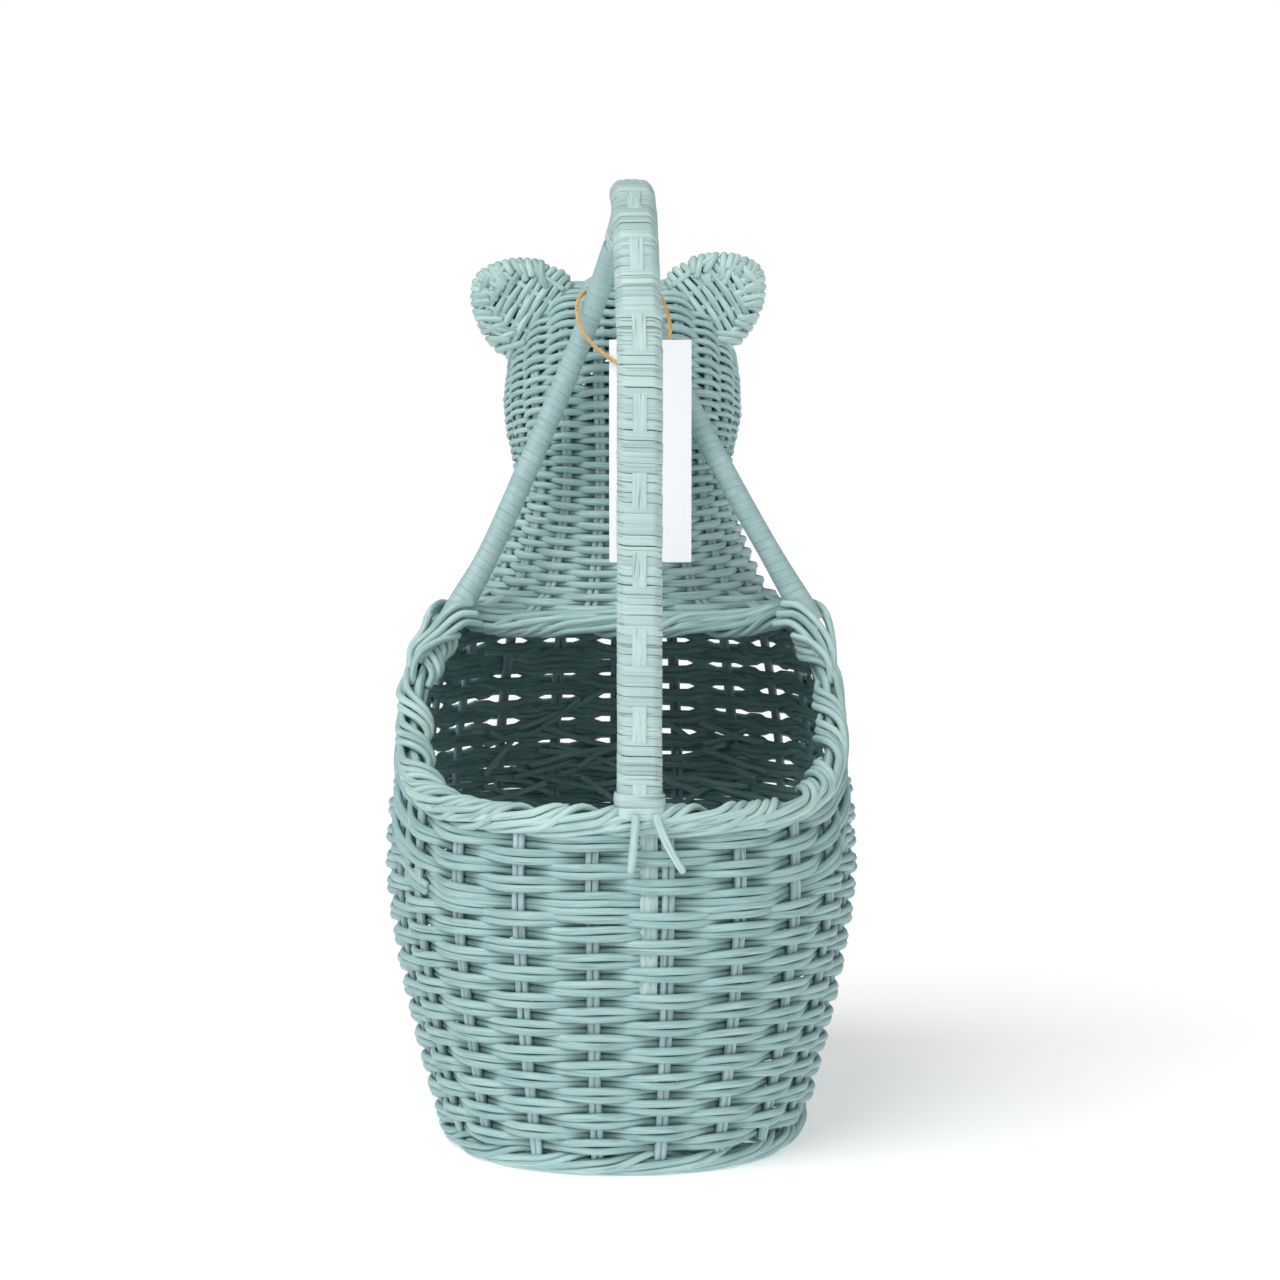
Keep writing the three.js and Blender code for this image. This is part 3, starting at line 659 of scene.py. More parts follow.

# In these finishes, inside paints shade on the side that faces inwards, and the weavers' crevice value
# paints shade where they pass behind the stakes.
WEAVER_FINISH = RattanFinish(
    "painted_weaver", pale=(0.51, 0.69, 0.69), deep=(0.20, 0.375, 0.38),
    grain=0.00022, streaks=0.4, inside=0.42, crevice_shade=0.22,
)
STAKE_FINISH = RattanFinish(
    "painted_stake", pale=(0.53, 0.69, 0.71), deep=(0.24, 0.38, 0.42),
    grain=0.00022, streaks=0.55, inside=0.42,
)
BORDER_FINISH = RattanFinish(
    "painted_border", pale=(0.60, 0.79, 0.76), deep=(0.27, 0.45, 0.44),
    grain=0.00022, streaks=0.4, inside=0.48,
)
PEEL_FINISH = RattanFinish(
    "painted_peel", pale=(0.60, 0.77, 0.75), deep=(0.34, 0.50, 0.49),
    grain=0.00016, roughness=0.4, fine=1700.0, streaks=0.7,
)
FORK_FINISH = RattanFinish(
    "painted_fork_peel", pale=(0.43, 0.60, 0.61), deep=(0.31, 0.48, 0.49),
    grain=0.00005, roughness=0.42, fine=1700.0, streaks=0.2,
)
TWINE_FINISH = RattanFinish(
    "jute_yarn", pale=(0.86, 0.60, 0.27), deep=(0.60, 0.34, 0.11),
    grain=0.00015, roughness=0.9, fine=5200.0, streaks=0.2,
)
ROD_FINISH = PlainFinish(
    "painted_rod", pale=(0.64, 0.80, 0.81), deep=(0.30, 0.44, 0.47),
    scale=700.0, relief=0.0005, roughness=0.5, upright=14.0,
)
CARD_FINISH = PlainFinish(
    "uncoated_card", pale=(0.95, 0.97, 1.0), deep=(0.92, 0.94, 0.98),
    scale=900.0, relief=0.00003, roughness=0.85,
)
FLOOR_FINISH = PlainFinish(
    "studio_floor", pale=(0.93, 0.93, 0.93), deep=(0.91, 0.91, 0.91),
    scale=3.0, relief=0.0, roughness=0.9,
)


@cache
def material_of(finish: Finish) -> Material:
    """The material of a finish, made once."""
    return finish.make()


def dress(
    item: Item, finish: Finish, nodes: Sequence[str], body: Body = Body.BASKET
) -> None:
    """Gives a piece its finish and body, lets it stand for nodes, and reports it.

    Args:
        item: The piece.
        finish: Its finish.
        nodes: Nodes that it replaces.
        body: Body that it rides on.
    """
    item.data.materials.append(material_of(finish))
    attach(item, body.value)
    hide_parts(*nodes)
    LOG.info("%s: %d faces", item.name, len(item.data.polygons))


def repaint(node: str, finish: Finish) -> None:
    """Gives a kept node of the part a finish, and reports it.

    Args:
        node: Name of the node.
        finish: Its finish.
    """
    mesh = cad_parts[node].data
    mesh.materials.clear()
    mesh.materials.append(material_of(finish))
    LOG.info("%s: kept, %d faces", node, len(mesh.polygons))


# ---- Shapes of the part ----


@dataclass
class BodyShape:
    """The oval wall of the body: flared below the belly, drawn in above it.

    Args:
        base_half: Half sizes along X and Y at the ground.
        belly_half: Half sizes at the belly.
        shoulder_half: Half sizes at the shoulders.
        belly_height: Height where the wall is widest.
        shoulder_height: Height of the top edge from the shoulders on.
        tail_height: Height of the top edge at the tail.
        bottom: Height of the lower edge.
        thickness: Thickness of the wall.
        oval_exponent: Exponent of the superellipse.
        flare_exponent: Exponent of the narrowing below the belly.
        scoop_exponent: Exponent of the top edge's rise from the tail.
        join_behind_widest: How far behind the widest line rim and neck meet.
        stake_pairs: Number of pairs of stakes.
        stake_strand: Thickness of one strand of a stake.
        rim_half_height: Half height of the rim that stands on the top edge.
    """

    base_half: Pair = (75.0, 107.0)
    belly_half: Pair = (96.0, 128.0)
    shoulder_half: Pair = (81.0, 108.0)
    belly_height: float = 104.0
    shoulder_height: float = 204.0
    tail_height: float = 131.0
    bottom: float = 9.3
    thickness: float = 8.7
    oval_exponent: float = 2.4
    flare_exponent: float = 1.4
    scoop_exponent: float = 2.6
    join_behind_widest: float = 1.5
    stake_pairs: int = 25
    stake_strand: float = 2.6
    rim_half_height: float = 5.5

    def __post_init__(self) -> None:
        """Measures the belly's ring, four times a degree, and finds the joins on it."""
        angles = -np.pi / 2 + np.linspace(0, 2 * np.pi, 1441)
        ring = self.point(angles, np.full(angles.shape, self.belly_height), 0.0)
        self._angles = angles
        self._arcs = distances(ring)
        self.arc = float(self._arcs[-1])
        self.spacing = self.arc / self.stake_pairs
        self.join_angle = float(np.arcsin(-self.join_behind_widest / self.shoulder_half[0]))
        self.right_join = float(np.interp(self.join_angle, self._angles, self._arcs))
        self.left_join = self.arc - self.right_join
        self.leg_y = float(self.point(np.array(-np.pi / 2), np.array(self.tail_height), self.middle)[1])

    @property
    def middle(self) -> float:
        """Depth of the wall's middle below its outer face."""
        return self.thickness / 2

    def half(self, z: Array, axis: int) -> Array:
        """Half size of the oval at a height.

        Below the belly it is belly - (belly - base) b^flare, with b the share of the way down to
        the ground. Above it is belly - (belly - shoulder) a^2, with a the share of the way up to
        the shoulders.

        Args:
            z: Heights.
            axis: 0 for the half size along X, 1 for the one along Y.

        Returns:
            The half size at every height.
        """
        base, belly, shoulder = self.base_half[axis], self.belly_half[axis], self.shoulder_half[axis]
        below = np.clip((self.belly_height - z) / self.belly_height, 0, 1) ** self.flare_exponent
        climb = (z - self.belly_height) / (self.shoulder_height - self.belly_height)
        above = np.clip(climb, 0, 1.2) ** 2
        return belly - (belly - base) * below - (belly - shoulder) * above

    def point(self, angle: Array, z: Array, inset: Array | float) -> Array:
        """Points of the wall: the superellipse |x/w|^n + |y/l|^n = 1 moved in by an inset.

        Args:
            angle: Angles round Z, measured from +X.
            z: Heights.
            inset: Depth below the outer face.

        Returns:
            The points, of the arguments' common shape plus (3,).
        """
        wide, long = self.half(z, 0) - inset, self.half(z, 1) - inset
        x, y = np.cos(angle), np.sin(angle)
        power = np.abs(x / wide) ** self.oval_exponent + np.abs(y / long) ** self.oval_exponent
        radius = power ** (-1 / self.oval_exponent)
        return np.stack(np.broadcast_arrays(radius * x, radius * y, z), axis=-1)

    def angle(self, arc: Array) -> Array:
        """Angles at arcs round the belly, counted from the middle of the tail."""
        turns = np.floor(arc / self.arc)
        return np.interp(arc - turns * self.arc, self._arcs, self._angles) + turns * 2 * np.pi

    def top(self, angle: Array) -> Array:
        """Height of the wall's top edge: low at the tail, rising late to the shoulders.

        Args:
            angle: Angles round Z, measured from +X.

        Returns:
            tail + (shoulder - tail) v^scoop, with v the share of the way from the tail to the join.
        """
        level = np.full(np.shape(angle), self.belly_height)
        y = self.point(angle, level, 0.0)[..., 1]
        join = self.point(np.array(self.join_angle), np.array(self.belly_height), 0.0)[1]
        share = np.clip((y + self.belly_half[1]) / (join + self.belly_half[1]), 0, 1)
        return self.tail_height + (self.shoulder_height - self.tail_height) * share**self.scoop_exponent


@dataclass
class HeadShape:
    """The neck and head: rings from the D-shaped neck to the blunt muzzle.

    Args:
        body: The body that the neck stands on.
        fronts: Y and Z of each ring's front point, from the neck up.
        backs: Y and Z of each ring's back point.
        wides: Half width of each ring.
        exponent: Exponent of the rings' superellipse.
        front_share: Share of a ring that runs from join to join over the front.
        edge_dip: How far the neck's lower edge dips in the middle of the back.
        back_bulge: How far the back of the neck bulges out.
    """

    body: BodyShape
    fronts: tuple[Pair, ...] = (
        (99, 215), (91, 232), (85, 258), (86.5, 272), (90, 276), (93, 278.5), (96, 281), (100, 285),
    )
    backs: tuple[Pair, ...] = (
        (-1, 215), (5, 232), (9, 265), (7.5, 305), (28.5, 341), (60, 348), (85, 334), (101, 315),
    )
    wides: tuple[float, ...] = (62, 54.5, 47.5, 51.6, 50, 43, 31, 19)
    exponent: float = 2.2
    front_share: float = 0.687
    edge_dip: float = 1.0
    back_bulge: float = 3.0

    def __post_init__(self) -> None:
        """Lays out the rings and measures the way up the back."""
        join, height = np.array(self.body.join_angle), np.array(self.body.shoulder_height)
        self.back_y = float(self.body.point(join, height, 0.0)[1])
        self._fronts = np.array(self.fronts, float)
        self._backs = np.array(self.backs, float)
        self._wides = np.array([(w, i) for i, w in enumerate(self.wides)], float)
        self.levels = np.linspace(0, len(self.fronts), 400)
        behind = np.full(self.levels.shape, (1 + self.front_share) / 2)
        back = self.point(behind, self.levels, self.body.middle)
        self.back_lengths = distances(back)

    def base(self, share: Array, inset: Array) -> Array:
        """The lowest ring: the body's edge in front, and a shallow dipping bow behind.

        Args:
            share: Places round the head from 0 to 1, from the right join over the front.
            inset: Depth below the outer face.

        Returns:
            The points, shape (len(share), 3).
        """
        start, end = self.body.right_join + inset, self.body.left_join - inset
        arc = start + share / self.front_share * (end - start)
        height = np.full(share.shape, self.body.shoulder_height)
        front = self.body.point(self.body.angle(arc), height, inset)
        across = 2 * (share - self.front_share) / (1 - self.front_share) - 1
        dip_share = 1 - (self.body.thickness + SEAT_GAP) / self.body.shoulder_half[0]
        dip = self.edge_dip * np.maximum(0, 1 - (across / dip_share) ** 2)
        back = np.stack([
            (self.body.shoulder_half[0] - inset) * across,
            self.back_y + inset - self.back_bulge * (1 - across**2),
            self.body.shoulder_height - dip,
        ], axis=-1)
        ring = np.where((share <= self.front_share)[..., None], front, back)
        return ring + np.array([0, 0, SEAT_GAP])

    def upper(self, share: Array, level: Array, inset: Array) -> Array:
        """A ring above the neck: a superellipse in the plane through its front and back points.

        Args:
            share: Places round the head from 0 to 1, from the right join over the front.
            level: 0 to 7, from the ring above the neck's edge to the muzzle.
            inset: Depth below the outer face.

        Returns:
            The points, shape (len(share), 3).
        """
        place = level / (len(self.fronts) - 1)
        front, back = catmull_rom(self._fronts, place), catmull_rom(self._backs, place)
        half_wide = catmull_rom(self._wides, place)[:, 0] - inset
        gap = front - back
        half_long = np.linalg.norm(gap, axis=1) / 2 - inset
        turn = -np.pi * (self.front_share - 0.5) + share * 2 * np.pi
        c, s, power = np.cos(turn), np.sin(turn), 2 / self.exponent
        length = half_long * np.sign(s) * np.abs(s) ** power
        y_z = (front + back) / 2 + unit(gap) * length[:, None]
        x = half_wide * np.sign(c) * np.abs(c) ** power
        return np.stack([x, y_z[:, 0], y_z[:, 1]], axis=1)

    def point(self, share: Array, level: Array, inset: Array | float) -> Array:
        """Points of the head's wall.

        Args:
            share: Places round the head, a turn for each 1, from the right join over the front.
            level: 0 at the neck's lower edge, 1 to 8 at the rings above.
            inset: Depth below the outer face.

        Returns:
            The points, shape (len(share), 3).
        """
        inset = np.broadcast_to(np.asarray(inset, float), share.shape)
        wrapped = share % 1.0
        upper = self.upper(wrapped, np.maximum(level - 1, 0), inset)
        mix = np.clip(level, 0, 1)[:, None]
        return self.base(wrapped, inset) * (1 - mix) + upper * mix


@dataclass
class HandleShape:
    """The two rods of the handle: up from the tail, over an arch, and forking to the shoulders.

    Args:
        body: The body that the handle stands on.
        rod_radius: Half thickness of a rod.
        rod_spacing: Distance between the rods' middles side by side.
        leg_offset: X of the pair's middle at the tail.
        leg_heights: Heights of the leg's knots between its foot and the arch.
        arch_turns: Angles of the arch's knots, in degrees from the leg.
        apex_offset: X of the pair's middle at the top of the arch.
        apex_height: Height of the rods' middle lines at the top of the arch.
        fork_top_behind: Y of the arch's far end, without its sign.
        fork_knots: Height, and X of the left and the right rod, down the fork.
        fork_foot_behind: Y of the fork's feet, without its sign.
        parting_gap: Distance between the rods' middles where they part.
        collar_height: Height of the collar round the foot of the leg.
    """

    body: BodyShape
    rod_radius: float = 3.7
    rod_spacing: float = 7.8
    leg_offset: float = 7.2
    leg_heights: tuple[float, ...] = (190, 250)
    arch_turns: tuple[float, ...] = (30, 60, 90, 118)
    apex_offset: float = 4.0
    apex_height: float = 371.0
    fork_top_behind: float = 1.57
    fork_knots: tuple[Triple, ...] = (
        (341, -7.7, 7.2), (309, -19.8, 18.5), (260, -40.8, 44), (229, -54.9, 61.5), (211, -65, 72),
    )
    fork_foot_behind: float = 8.5
    parting_gap: float = 9.6
    collar_height: float = 9.0

    def __post_init__(self) -> None:
        """Lays both rods' middle lines, and finds where the windings start and end on them."""
        self.leg_y = self.body.leg_y
        radius = (-self.fork_top_behind - self.leg_y) / 2
        centre_y, centre_z = self.leg_y + radius, self.apex_height - radius
        heights = (self.leg_foot, *self.leg_heights, centre_z)
        legs = [(self.leg_offset, self.leg_y, z) for z in heights]
        for degrees in self.arch_turns:
            turn = np.radians(degrees)
            x = self.leg_offset + (self.apex_offset - self.leg_offset) * min(1, degrees / 90)
            legs.append((x, centre_y - radius * np.cos(turn), centre_z + radius * np.sin(turn)))
        left = [(x - self.rod_spacing / 2, y, z) for x, y, z in legs]
        right = [(x + self.rod_spacing / 2, y, z) for x, y, z in legs]
        for z, x_left, x_right in self.fork_knots:
            arch = centre_y + np.sqrt(radius**2 - max(0, z - centre_z) ** 2)
            down = max(0, (centre_z - z) / (centre_z - self.fork_knots[-1][0]))
            y = arch + (-self.fork_foot_behind - arch) * down**2
            left.append((x_left, y, z))
            right.append((x_right, y, z))
        share = np.linspace(0, 1, 2001)
        self.left = catmull_rom(np.array(left), share)
        self.right = catmull_rom(np.array(right), share)
        apart = np.linalg.norm(self.left - self.right, axis=1)
        late = share > 0.5
        self.pair_start = int(np.argmax(self.left[:, 2] > self.leg_foot + self.collar_height / 3))
        self.parting = int(np.argmax(late & (apart > self.parting_gap)))
        self.apart = apart

    @property
    def leg_foot(self) -> float:
        """Height of the leg's foot: the rim's top at the tail, and the gaps below and above it."""
        return self.body.tail_height + SEAT_GAP + 2 * self.body.rim_half_height + SEAT_GAP

    @staticmethod
    def track(points: Array) -> Track:
        """A track with its first direction near +X and its second to the arch's outside.

        Args:
            points: Middle points, shape (M, 3).

        Returns:
            The track.
        """
        tangent = unit(np.gradient(points, axis=0))
        first = np.array([1.0, 0, 0]) - tangent * tangent[:, :1]
        first = unit(first)
        return Track(points, first, unit(np.cross(first, tangent)))

    def pair(self, start: int, end: int) -> tuple[Track, Array]:
        """The middle line of both rods between two samples, and half their spacing along it."""
        middle = (self.left + self.right)[start:end] / 2
        return self.track(middle), self.apart[start:end] / 2


# ---- Pieces ----


@dataclass
class BodyWeave:
    """The body's wall: paired weavers over pairs of stakes, in plain weave.

    A pair of weavers at arc s and row height z swings through the wall as
    inset = middle - swing cos(pi (s - shift) / spacing). The stakes are odd in number, so one
    climbing spiral alternates from row to row by itself.

    Args:
        shape: Shape of the body.
        weaver_diameter: Thickness of a weaver.
        flattening: How much wider than thick a weaver's section is.
        pair_half: Half distance between the two weavers of a pair.
        pair_pitch: Height of a row.
        rim_rows: Rows that follow the top edge.
        stake_shift: Arc from the middle of the tail to the first pair of stakes.
        stake_foot: Height of the stakes' lower ends, inside the foot.
        stake_head: How far the stakes reach into the rim.
        swing: How far a pair swings from the wall's middle.
        draw: How far the rows of the chest draw together at the stakes.
        slit_height: Height where the slits of the chest begin.
        slit_fade: Height over which they open.
        samples: Samples from one pair of stakes to the next.
        tuck_samples: Samples over which an end sinks into the wall's middle.
        cut_ends: Number of cut ends inside the chest.
        wander: Source of unevenness.
    """

    shape: BodyShape
    weaver_diameter: float = 2.7
    flattening: float = 1.16
    pair_half: float = 1.33
    pair_pitch: float = 5.2
    rim_rows: int = 5
    stake_shift: float = 18.5
    stake_foot: float = 5.0
    stake_head: float = 3.0
    swing: float = 2.55
    draw: float = 1.15
    slit_height: float = 128.0
    slit_fade: float = 16.0
    samples: int = 8
    tuck_samples: int = 6
    cut_ends: int = 34
    wander: Wander = field(default_factory=lambda: Wander(11))

    def _lay(self, strands: StrandSet, arc: Array, height: Array, row: Array) -> None:
        """Adds a pair of weavers along arcs and heights of the wall.

        On the chest, rows draw together by twos at the stakes and leave slits between the twos:
        every second row climbs, and the others sink, by draw s((w - 0.1) / 0.4) with w = cos^2.
        The ends are tucked into the middle of the wall.

        Args:
            strands: Set that takes the weavers.
            arc: Places round the wall.
            height: Heights of the pair's middle.
            row: Number of the row at every place.
        """
        wave = np.cos(np.pi * (arc - self.stake_shift) / self.shape.spacing)
        angle = self.shape.angle(arc)
        square = wave**2
        chest = ease(0.5 + 1.4 * np.sin(angle))
        chest = chest * ease((height - self.slit_height) / self.slit_fade)
        closing = ease((square - 0.1) / 0.4)
        draw = np.where(row % 2 == 0, 1, -1) * (0.1 + self.draw * chest) * closing
        sway = self.wander.along(arc, 0.16, 140)
        step = np.arange(len(arc))
        free = ease(np.minimum(step, step[::-1]) / self.tuck_samples)
        for side in (-1, 1):
            apart = side * (self.pair_half + (0.25 - 0.2 * chest) * square)
            z = height + draw + apart + sway + self.wander.along(arc, 0.15, 43)
            inset = self.shape.middle - free * self.swing * wave + self.wander.along(arc, 0.15, 47)
            points = self.shape.point(angle, z, inset)
            normals = self.shape.point(angle, z, inset - 1) - points
            radius = self.weaver_diameter / 2 * (1 + self.wander.along(arc, 0.03, 330))
            # The hollow mask drives the painted shade where a weaver passes behind a stake.
            strands.add(points, normals, radius, flat=self.flattening, hollow=crevice_shade(wave))

    def _ends(self, strands: StrandSet) -> None:
        """Adds the cut ends of weavers that slant across each other inside the chest.

        Args:
            strands: Set that takes the ends.
        """
        share = np.linspace(0, 1, 16)
        lows, highs = (-85, 108, 16, -17, 1.6, -0.5), (85, 150, 46, 17, 5.0, 0.5)
        for number in range(self.cut_ends):
            arc, z, run, climb, lift, bow = self.wander.random.uniform(lows, highs)
            run = run if number % 2 else -run
            place = self.shape.arc / 2 + arc + run * share
            height = z + climb * share + 5 * bow * np.sin(np.pi * share)
            inset = self.shape.thickness - 1.8 + lift * share**0.6
            points = self.shape.point(self.shape.angle(place), height, inset)
            strands.add(points, np.array([0, 1.0, 0.1]), self.weaver_diameter / 2)

    def weavers(self) -> Item:
        """All weavers of the body: the climbing spiral, the rows below the rim and the cut ends.

        Returns:
            The weavers.
        """
        strands = StrandSet(sides=7, seed=3)
        per_turn = self.shape.stake_pairs * self.samples
        front = self.shape.arc / 2
        rows = int((self.shape.shoulder_height - self.shape.bottom) / self.pair_pitch)
        step = np.arange(rows * per_turn + 1)
        arc = front + step / per_turn * self.shape.arc
        level = self.shape.bottom + self.pair_pitch * step / per_turn
        ceiling = self.shape.top(self.shape.angle(arc)) - (self.rim_rows + 0.5) * self.pair_pitch
        room = level < ceiling + 0.8 * self.pair_pitch
        edges = np.flatnonzero(np.diff(np.concatenate([[0], room.astype(int), [0]])))
        for start, end in edges.reshape(-1, 2):
            if end - start > 2 * self.samples:
                part = slice(start, end)
                height = np.minimum(level, ceiling)[part]
                self._lay(strands, arc[part], height, step[part] // per_turn)
        step = np.arange(self.rim_rows * per_turn + 1)
        turn = step / per_turn
        arc = front + turn * self.shape.arc
        climb = sum(ease((turn - row + 0.03) / 0.06) for row in range(1, self.rim_rows))
        below = self.pair_pitch * (self.rim_rows - 0.55 - climb)
        height = self.shape.top(self.shape.angle(arc)) - below
        self._lay(strands, arc, height, step // per_turn)
        self._ends(strands)
        return strands.build("body_weave")

    def stake(self, number: int) -> Item:
        """One pair of stakes, side by side, from inside the foot to inside the rim.

        Args:
            number: Number of the pair, from 0.

        Returns:
            The pair.
        """
        strands = StrandSet(seed=40 + number)
        middle = self.stake_shift + number / self.shape.stake_pairs * self.shape.arc
        share = np.linspace(0, 1, 30)
        for side in (-1, 1):
            beside = side * self.shape.stake_strand / 2 * 1.02
            arc = middle + beside + self.wander.along(share * 130, 0.12, 70)
            angle = self.shape.angle(arc)
            bottom, top = self.stake_foot, self.shape.top(angle) + self.stake_head
            z = bottom + (top - bottom) * share
            inset = self.shape.middle + self.wander.along(share * 130, 0.1, 50)
            points = self.shape.point(angle, z, inset)
            normals = self.shape.point(angle, z, inset - 1) - points
            strands.add(points, normals, self.shape.stake_strand / 2, hollow=0.15)
        return strands.build(f"stake_pair_{number + 1:02d}")

    def dress(self) -> None:
        """Builds the wall's weavers and stakes and dresses them."""
        skins = ["body_weavers_outside", "body_weavers_inside"]
        dress(self.weavers(), WEAVER_FINISH, skins)
        for number in range(self.shape.stake_pairs):
            node = f"body_stake_{number + 1:02d}"
            dress(self.stake(number), STAKE_FINISH, [node])


@dataclass(frozen=True)
class Plait:
    """A plaited border: bundles of strands that slant up the outside and curl over the top.

    Bundle b starts at distance b times the pitch. At a share u of its length its turn round the
    core is first + (middle - first) u + (last - middle) s((u - bend) / (1 - bend)), with s the smooth
    step. Its reach from the core grows from the tuck to full as it climbs out from under the bundle
    before it, and falls at the very end. The strands of a bundle lie side by side: one that is b
    beside the middle has its turn moved by b cos(slope) / radius and its place by -b sin(slope).

    Args:
        half_across: Half width of the border.
        half_up: Half height of the border.
        pitch: Distance from one bundle to the next.
        length: Distance that a bundle runs.
        count: Strands in a bundle.
        radius: Half thickness of a strand.
        turn: First, middle and last angle round the core, in degrees, from the outside over the top.
        bend: Share of the length where the curl begins.
        tuck: Share of the full reach at a bundle's start.
        loose: How much the reach differs from strand to strand.
    """

    half_across: float
    half_up: float
    pitch: float
    length: float
    count: int
    radius: float
    turn: Triple = (-100.0, 45.0, 200.0)
    bend: float = 0.6
    tuck: float = 0.5
    loose: float = 0.06

    def weave(
        self, track: Track, strands: StrandSet, wander: Wander, looped: bool = False,
        widen: Callable[[Array], Array] = np.ones_like,
    ) -> None:
        """Adds the bundles and the core of a border.

        Args:
            track: Middle line of the border, with across to its outside and upward to its top.
            strands: Set that takes the strands.
            wander: Source of unevenness.
            looped: Whether the track closes on itself.
            widen: How much wider than half_across the border is, from distances along it.
        """
        total = track.length
        bundles = max(1, round(total / self.pitch)) if looped else int(total / self.pitch)
        pitch = total / bundles if looped else self.pitch
        first = 0 if looped else -int(np.ceil(self.length / pitch)) + 1
        share = np.linspace(0, 1, 34)
        low, middle, high = np.radians(self.turn)
        turn = low + (middle - low) * share
        turn = turn + (high - middle) * ease((share - self.bend) / (1 - self.bend))
        mean = (self.half_across + self.half_up) / 2 - self.radius
        slope = np.arctan(np.gradient(turn, share) * mean / self.length)
        full = ease(share / 0.5)
        rest = 1 - 0.45 * ease((share - 0.88) / 0.12)
        for bundle in range(first, bundles):
            start = bundle * pitch + wander.pick(1, -14, 14)[0] * self.loose
            stretch = self.length * (1 + wander.pick(1, -1.2, 1.2)[0] * self.loose)
            for k in range(self.count):
                beside = (k - (self.count - 1) / 2) * 2.02 * self.radius
                distance = start + share * stretch - beside * np.sin(slope)
                kept = looped | ((distance >= 0) & (distance <= total))
                if np.count_nonzero(kept) < 6:
                    continue
                around = turn + beside * np.cos(slope) / mean
                lift = 1 + wander.along(share * 40, self.loose, 45)
                reach = (self.tuck + (1 - self.tuck) * full) * rest * lift
                place, across, upward = track.at(distance % total if looped else distance)
                wide = reach * (self.half_across * widen(distance) - self.radius)
                out = (wide * np.cos(around))[:, None] * across
                up = (reach * (self.half_up - self.radius) * np.sin(around))[:, None] * upward
                points = place + out + up
                strands.add(points[kept], (out + up + 0.05 * upward)[kept], self.radius)
        self._core(track, strands, looped)

    def _core(self, track: Track, strands: StrandSet, looped: bool) -> None:
        """Adds the flat inner strand that the bundles climb round.

        Args:
            track: Middle line of the border.
            strands: Set that takes the strand.
            looped: Whether the track closes on itself.
        """
        count = max(12, int(track.length / 5))
        distance = np.linspace(0, track.length, count, endpoint=not looped)
        place, across, upward = track.at(distance)
        thick, wide = 0.36 * self.half_across, 0.42 * self.half_up
        strands.add(place, across, thick, flat=wide / thick, closed=looped)


